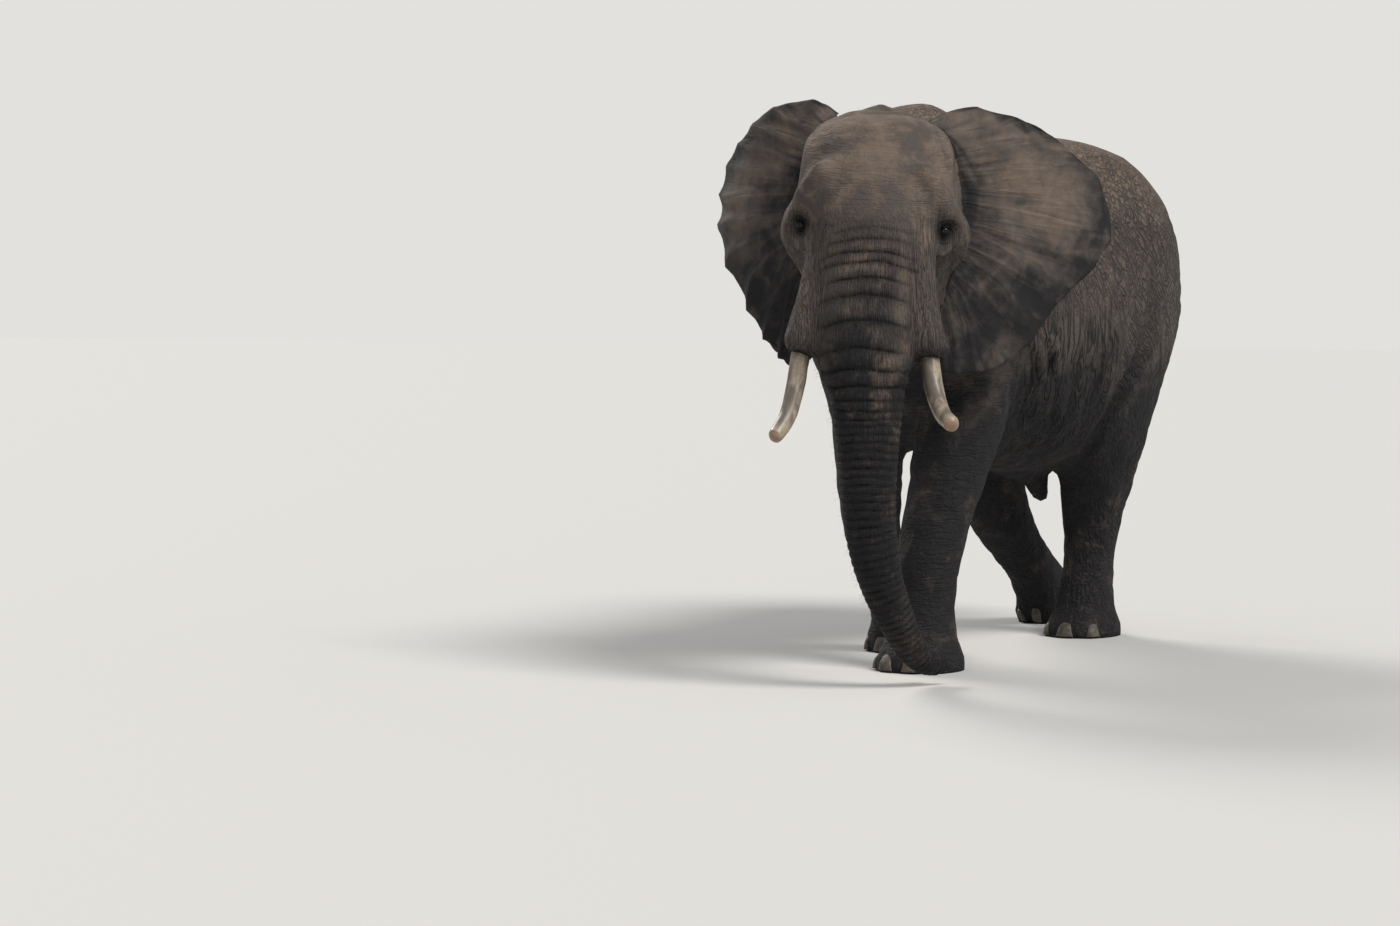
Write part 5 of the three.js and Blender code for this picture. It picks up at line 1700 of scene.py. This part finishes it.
class ELEPHANT_OT_hair(bpy.types.Operator):
    """Make the hair of the tail, the lashes and the bristles"""

    bl_idname = "elephant.hair"
    bl_label = "Hair"

    def execute(self, context):
        look = context.scene.elephant_sizes
        material = paint_hair(look)
        hide = bpy.data.objects["hide"].data
        pieces = (("tail_hair", tail_hair(look), 0.0042, 0.06, ["tail_tuft"]),
                  ("lashes", lash_hair(look), 0.011, 0.22, ()),
                  ("bristles", bristles(look, hide), 0.012, 0.25, ()))
        for name, (roots, aims, lengths), thickness, bend, replaced in pieces:
            mesh = strands(name, roots + SHIFT, aims, lengths, round_map(roots), thickness, bend, material)
            dress(name, mesh, material, replaced)
        return {"FINISHED"}


CAMERA_AZIMUTH = math.radians(30)
CAMERA_DISTANCE = 19.5  # to the withers' axis, along the view
CAMERA_ASIDE = 1.115
CAMERA_HEIGHT = 2.02
CAMERA_LENS, CAMERA_SENSOR = 93.1, 36  # millimetres
CAMERA_DROP = math.radians(2.81)


SOFT_COLOUR, SOFT_STRENGTH = (0.92, 0.96, 1.0, 1), 0.34


def studio_world():
    """An even soft light, and a pale backdrop where the camera looks past the floor."""
    world = bpy.data.worlds.new("studio")
    world.use_nodes = True
    graph = Graph(world.node_tree)
    soft = graph.nodes["Background"]
    graph.feed(soft, {"Color": SOFT_COLOUR, "Strength": SOFT_STRENGTH})
    backdrop = graph.add("ShaderNodeBackground", None, {"Color": colour(226, 225, 222)})
    seen = graph.add("ShaderNodeLightPath", output="Is Camera Ray")
    mix = graph.add("ShaderNodeMixShader", None, {"Fac": seen, 1: Wire(graph, soft.outputs[0]), 2: backdrop})
    graph.feed(graph.nodes["World Output"], {"Surface": mix})
    return world


# Suns of the studio. Each: degrees from the model's front round to its left, degrees up, power.
SUNS = {"key": (78, 50, 2.9), "rim": (-122, 34, 2.0)}
SUN_COLOUR = (1.0, 0.97, 0.93)
SUN_WIDTH = math.radians(24)
FLOOR_CORNERS = [(-90, -90, 0), (90, -90, 0), (90, 90, 0), (-90, 90, 0)]


class ELEPHANT_OT_stage(bpy.types.Operator):
    """Make the floor, the lamps, the world and the camera"""

    bl_idname = "elephant.stage"
    bl_label = "Stage"

    def execute(self, context):
        scene = context.scene
        floor = mesh_from("floor", FLOOR_CORNERS, [(0, 1, 2, 3)])
        floor.materials.append(paint_stage())
        add_object("floor", floor)
        scene.world = studio_world()
        for name, (round_it, up, power) in SUNS.items():
            lamp = bpy.data.lights.new(name, "SUN")
            lamp.energy, lamp.angle, lamp.color = power, SUN_WIDTH, SUN_COLOUR
            sun = bpy.data.objects.new(name, lamp)
            sun.rotation_euler = Euler((math.radians(90 - up), 0, math.radians(round_it)))
            scene.collection.objects.link(sun)
        camera = bpy.data.cameras.new("camera")
        camera.lens, camera.sensor_width, camera.clip_end = CAMERA_LENS, CAMERA_SENSOR, 300
        eye = bpy.data.objects.new("camera", camera)
        ahead = Vector((-math.sin(CAMERA_AZIMUTH), math.cos(CAMERA_AZIMUTH), 0))
        right = Vector((math.cos(CAMERA_AZIMUTH), math.sin(CAMERA_AZIMUTH), 0))
        eye.location = (Vector(SHIFT) - ahead * CAMERA_DISTANCE - right * CAMERA_ASIDE
                        + Vector((0, 0, CAMERA_HEIGHT)))
        eye.rotation_euler = Euler((math.pi / 2 - CAMERA_DROP, 0, CAMERA_AZIMUTH))
        scene.collection.objects.link(eye)
        scene.camera = eye
        scene.view_settings.view_transform = "Standard"
        return {"FINISHED"}


class ELEPHANT_PT_tools(bpy.types.Panel):
    """Lists the pieces of the elephant"""

    bl_idname = "ELEPHANT_PT_tools"
    bl_label = "Elephant bull"
    bl_space_type = "VIEW_3D"
    bl_region_type = "UI"
    bl_category = "Elephant"

    def draw(self, context):
        sizes = context.scene.elephant_sizes
        for name in sizes.__annotations__:
            self.layout.prop(sizes, name)
        for tool in TOOLS:
            self.layout.operator(tool.bl_idname)


TOOLS = (ELEPHANT_OT_hide, ELEPHANT_OT_eyes, ELEPHANT_OT_tusks, ELEPHANT_OT_nails, ELEPHANT_OT_hair,
         ELEPHANT_OT_stage)
CLASSES = (ElephantSizes, *TOOLS, ELEPHANT_PT_tools)


def register():
    for item in CLASSES:
        bpy.utils.register_class(item)
    bpy.types.Scene.elephant_sizes = bpy.props.PointerProperty(type=ElephantSizes)


def unregister():
    del bpy.types.Scene.elephant_sizes
    for item in reversed(CLASSES):
        bpy.utils.unregister_class(item)


def main():
    register()
    for tool in TOOLS:
        group, name = tool.bl_idname.split(".")
        getattr(getattr(bpy.ops, group), name)()
    bpy.context.view_layer.update()


if __name__ == "__main__":
    main()
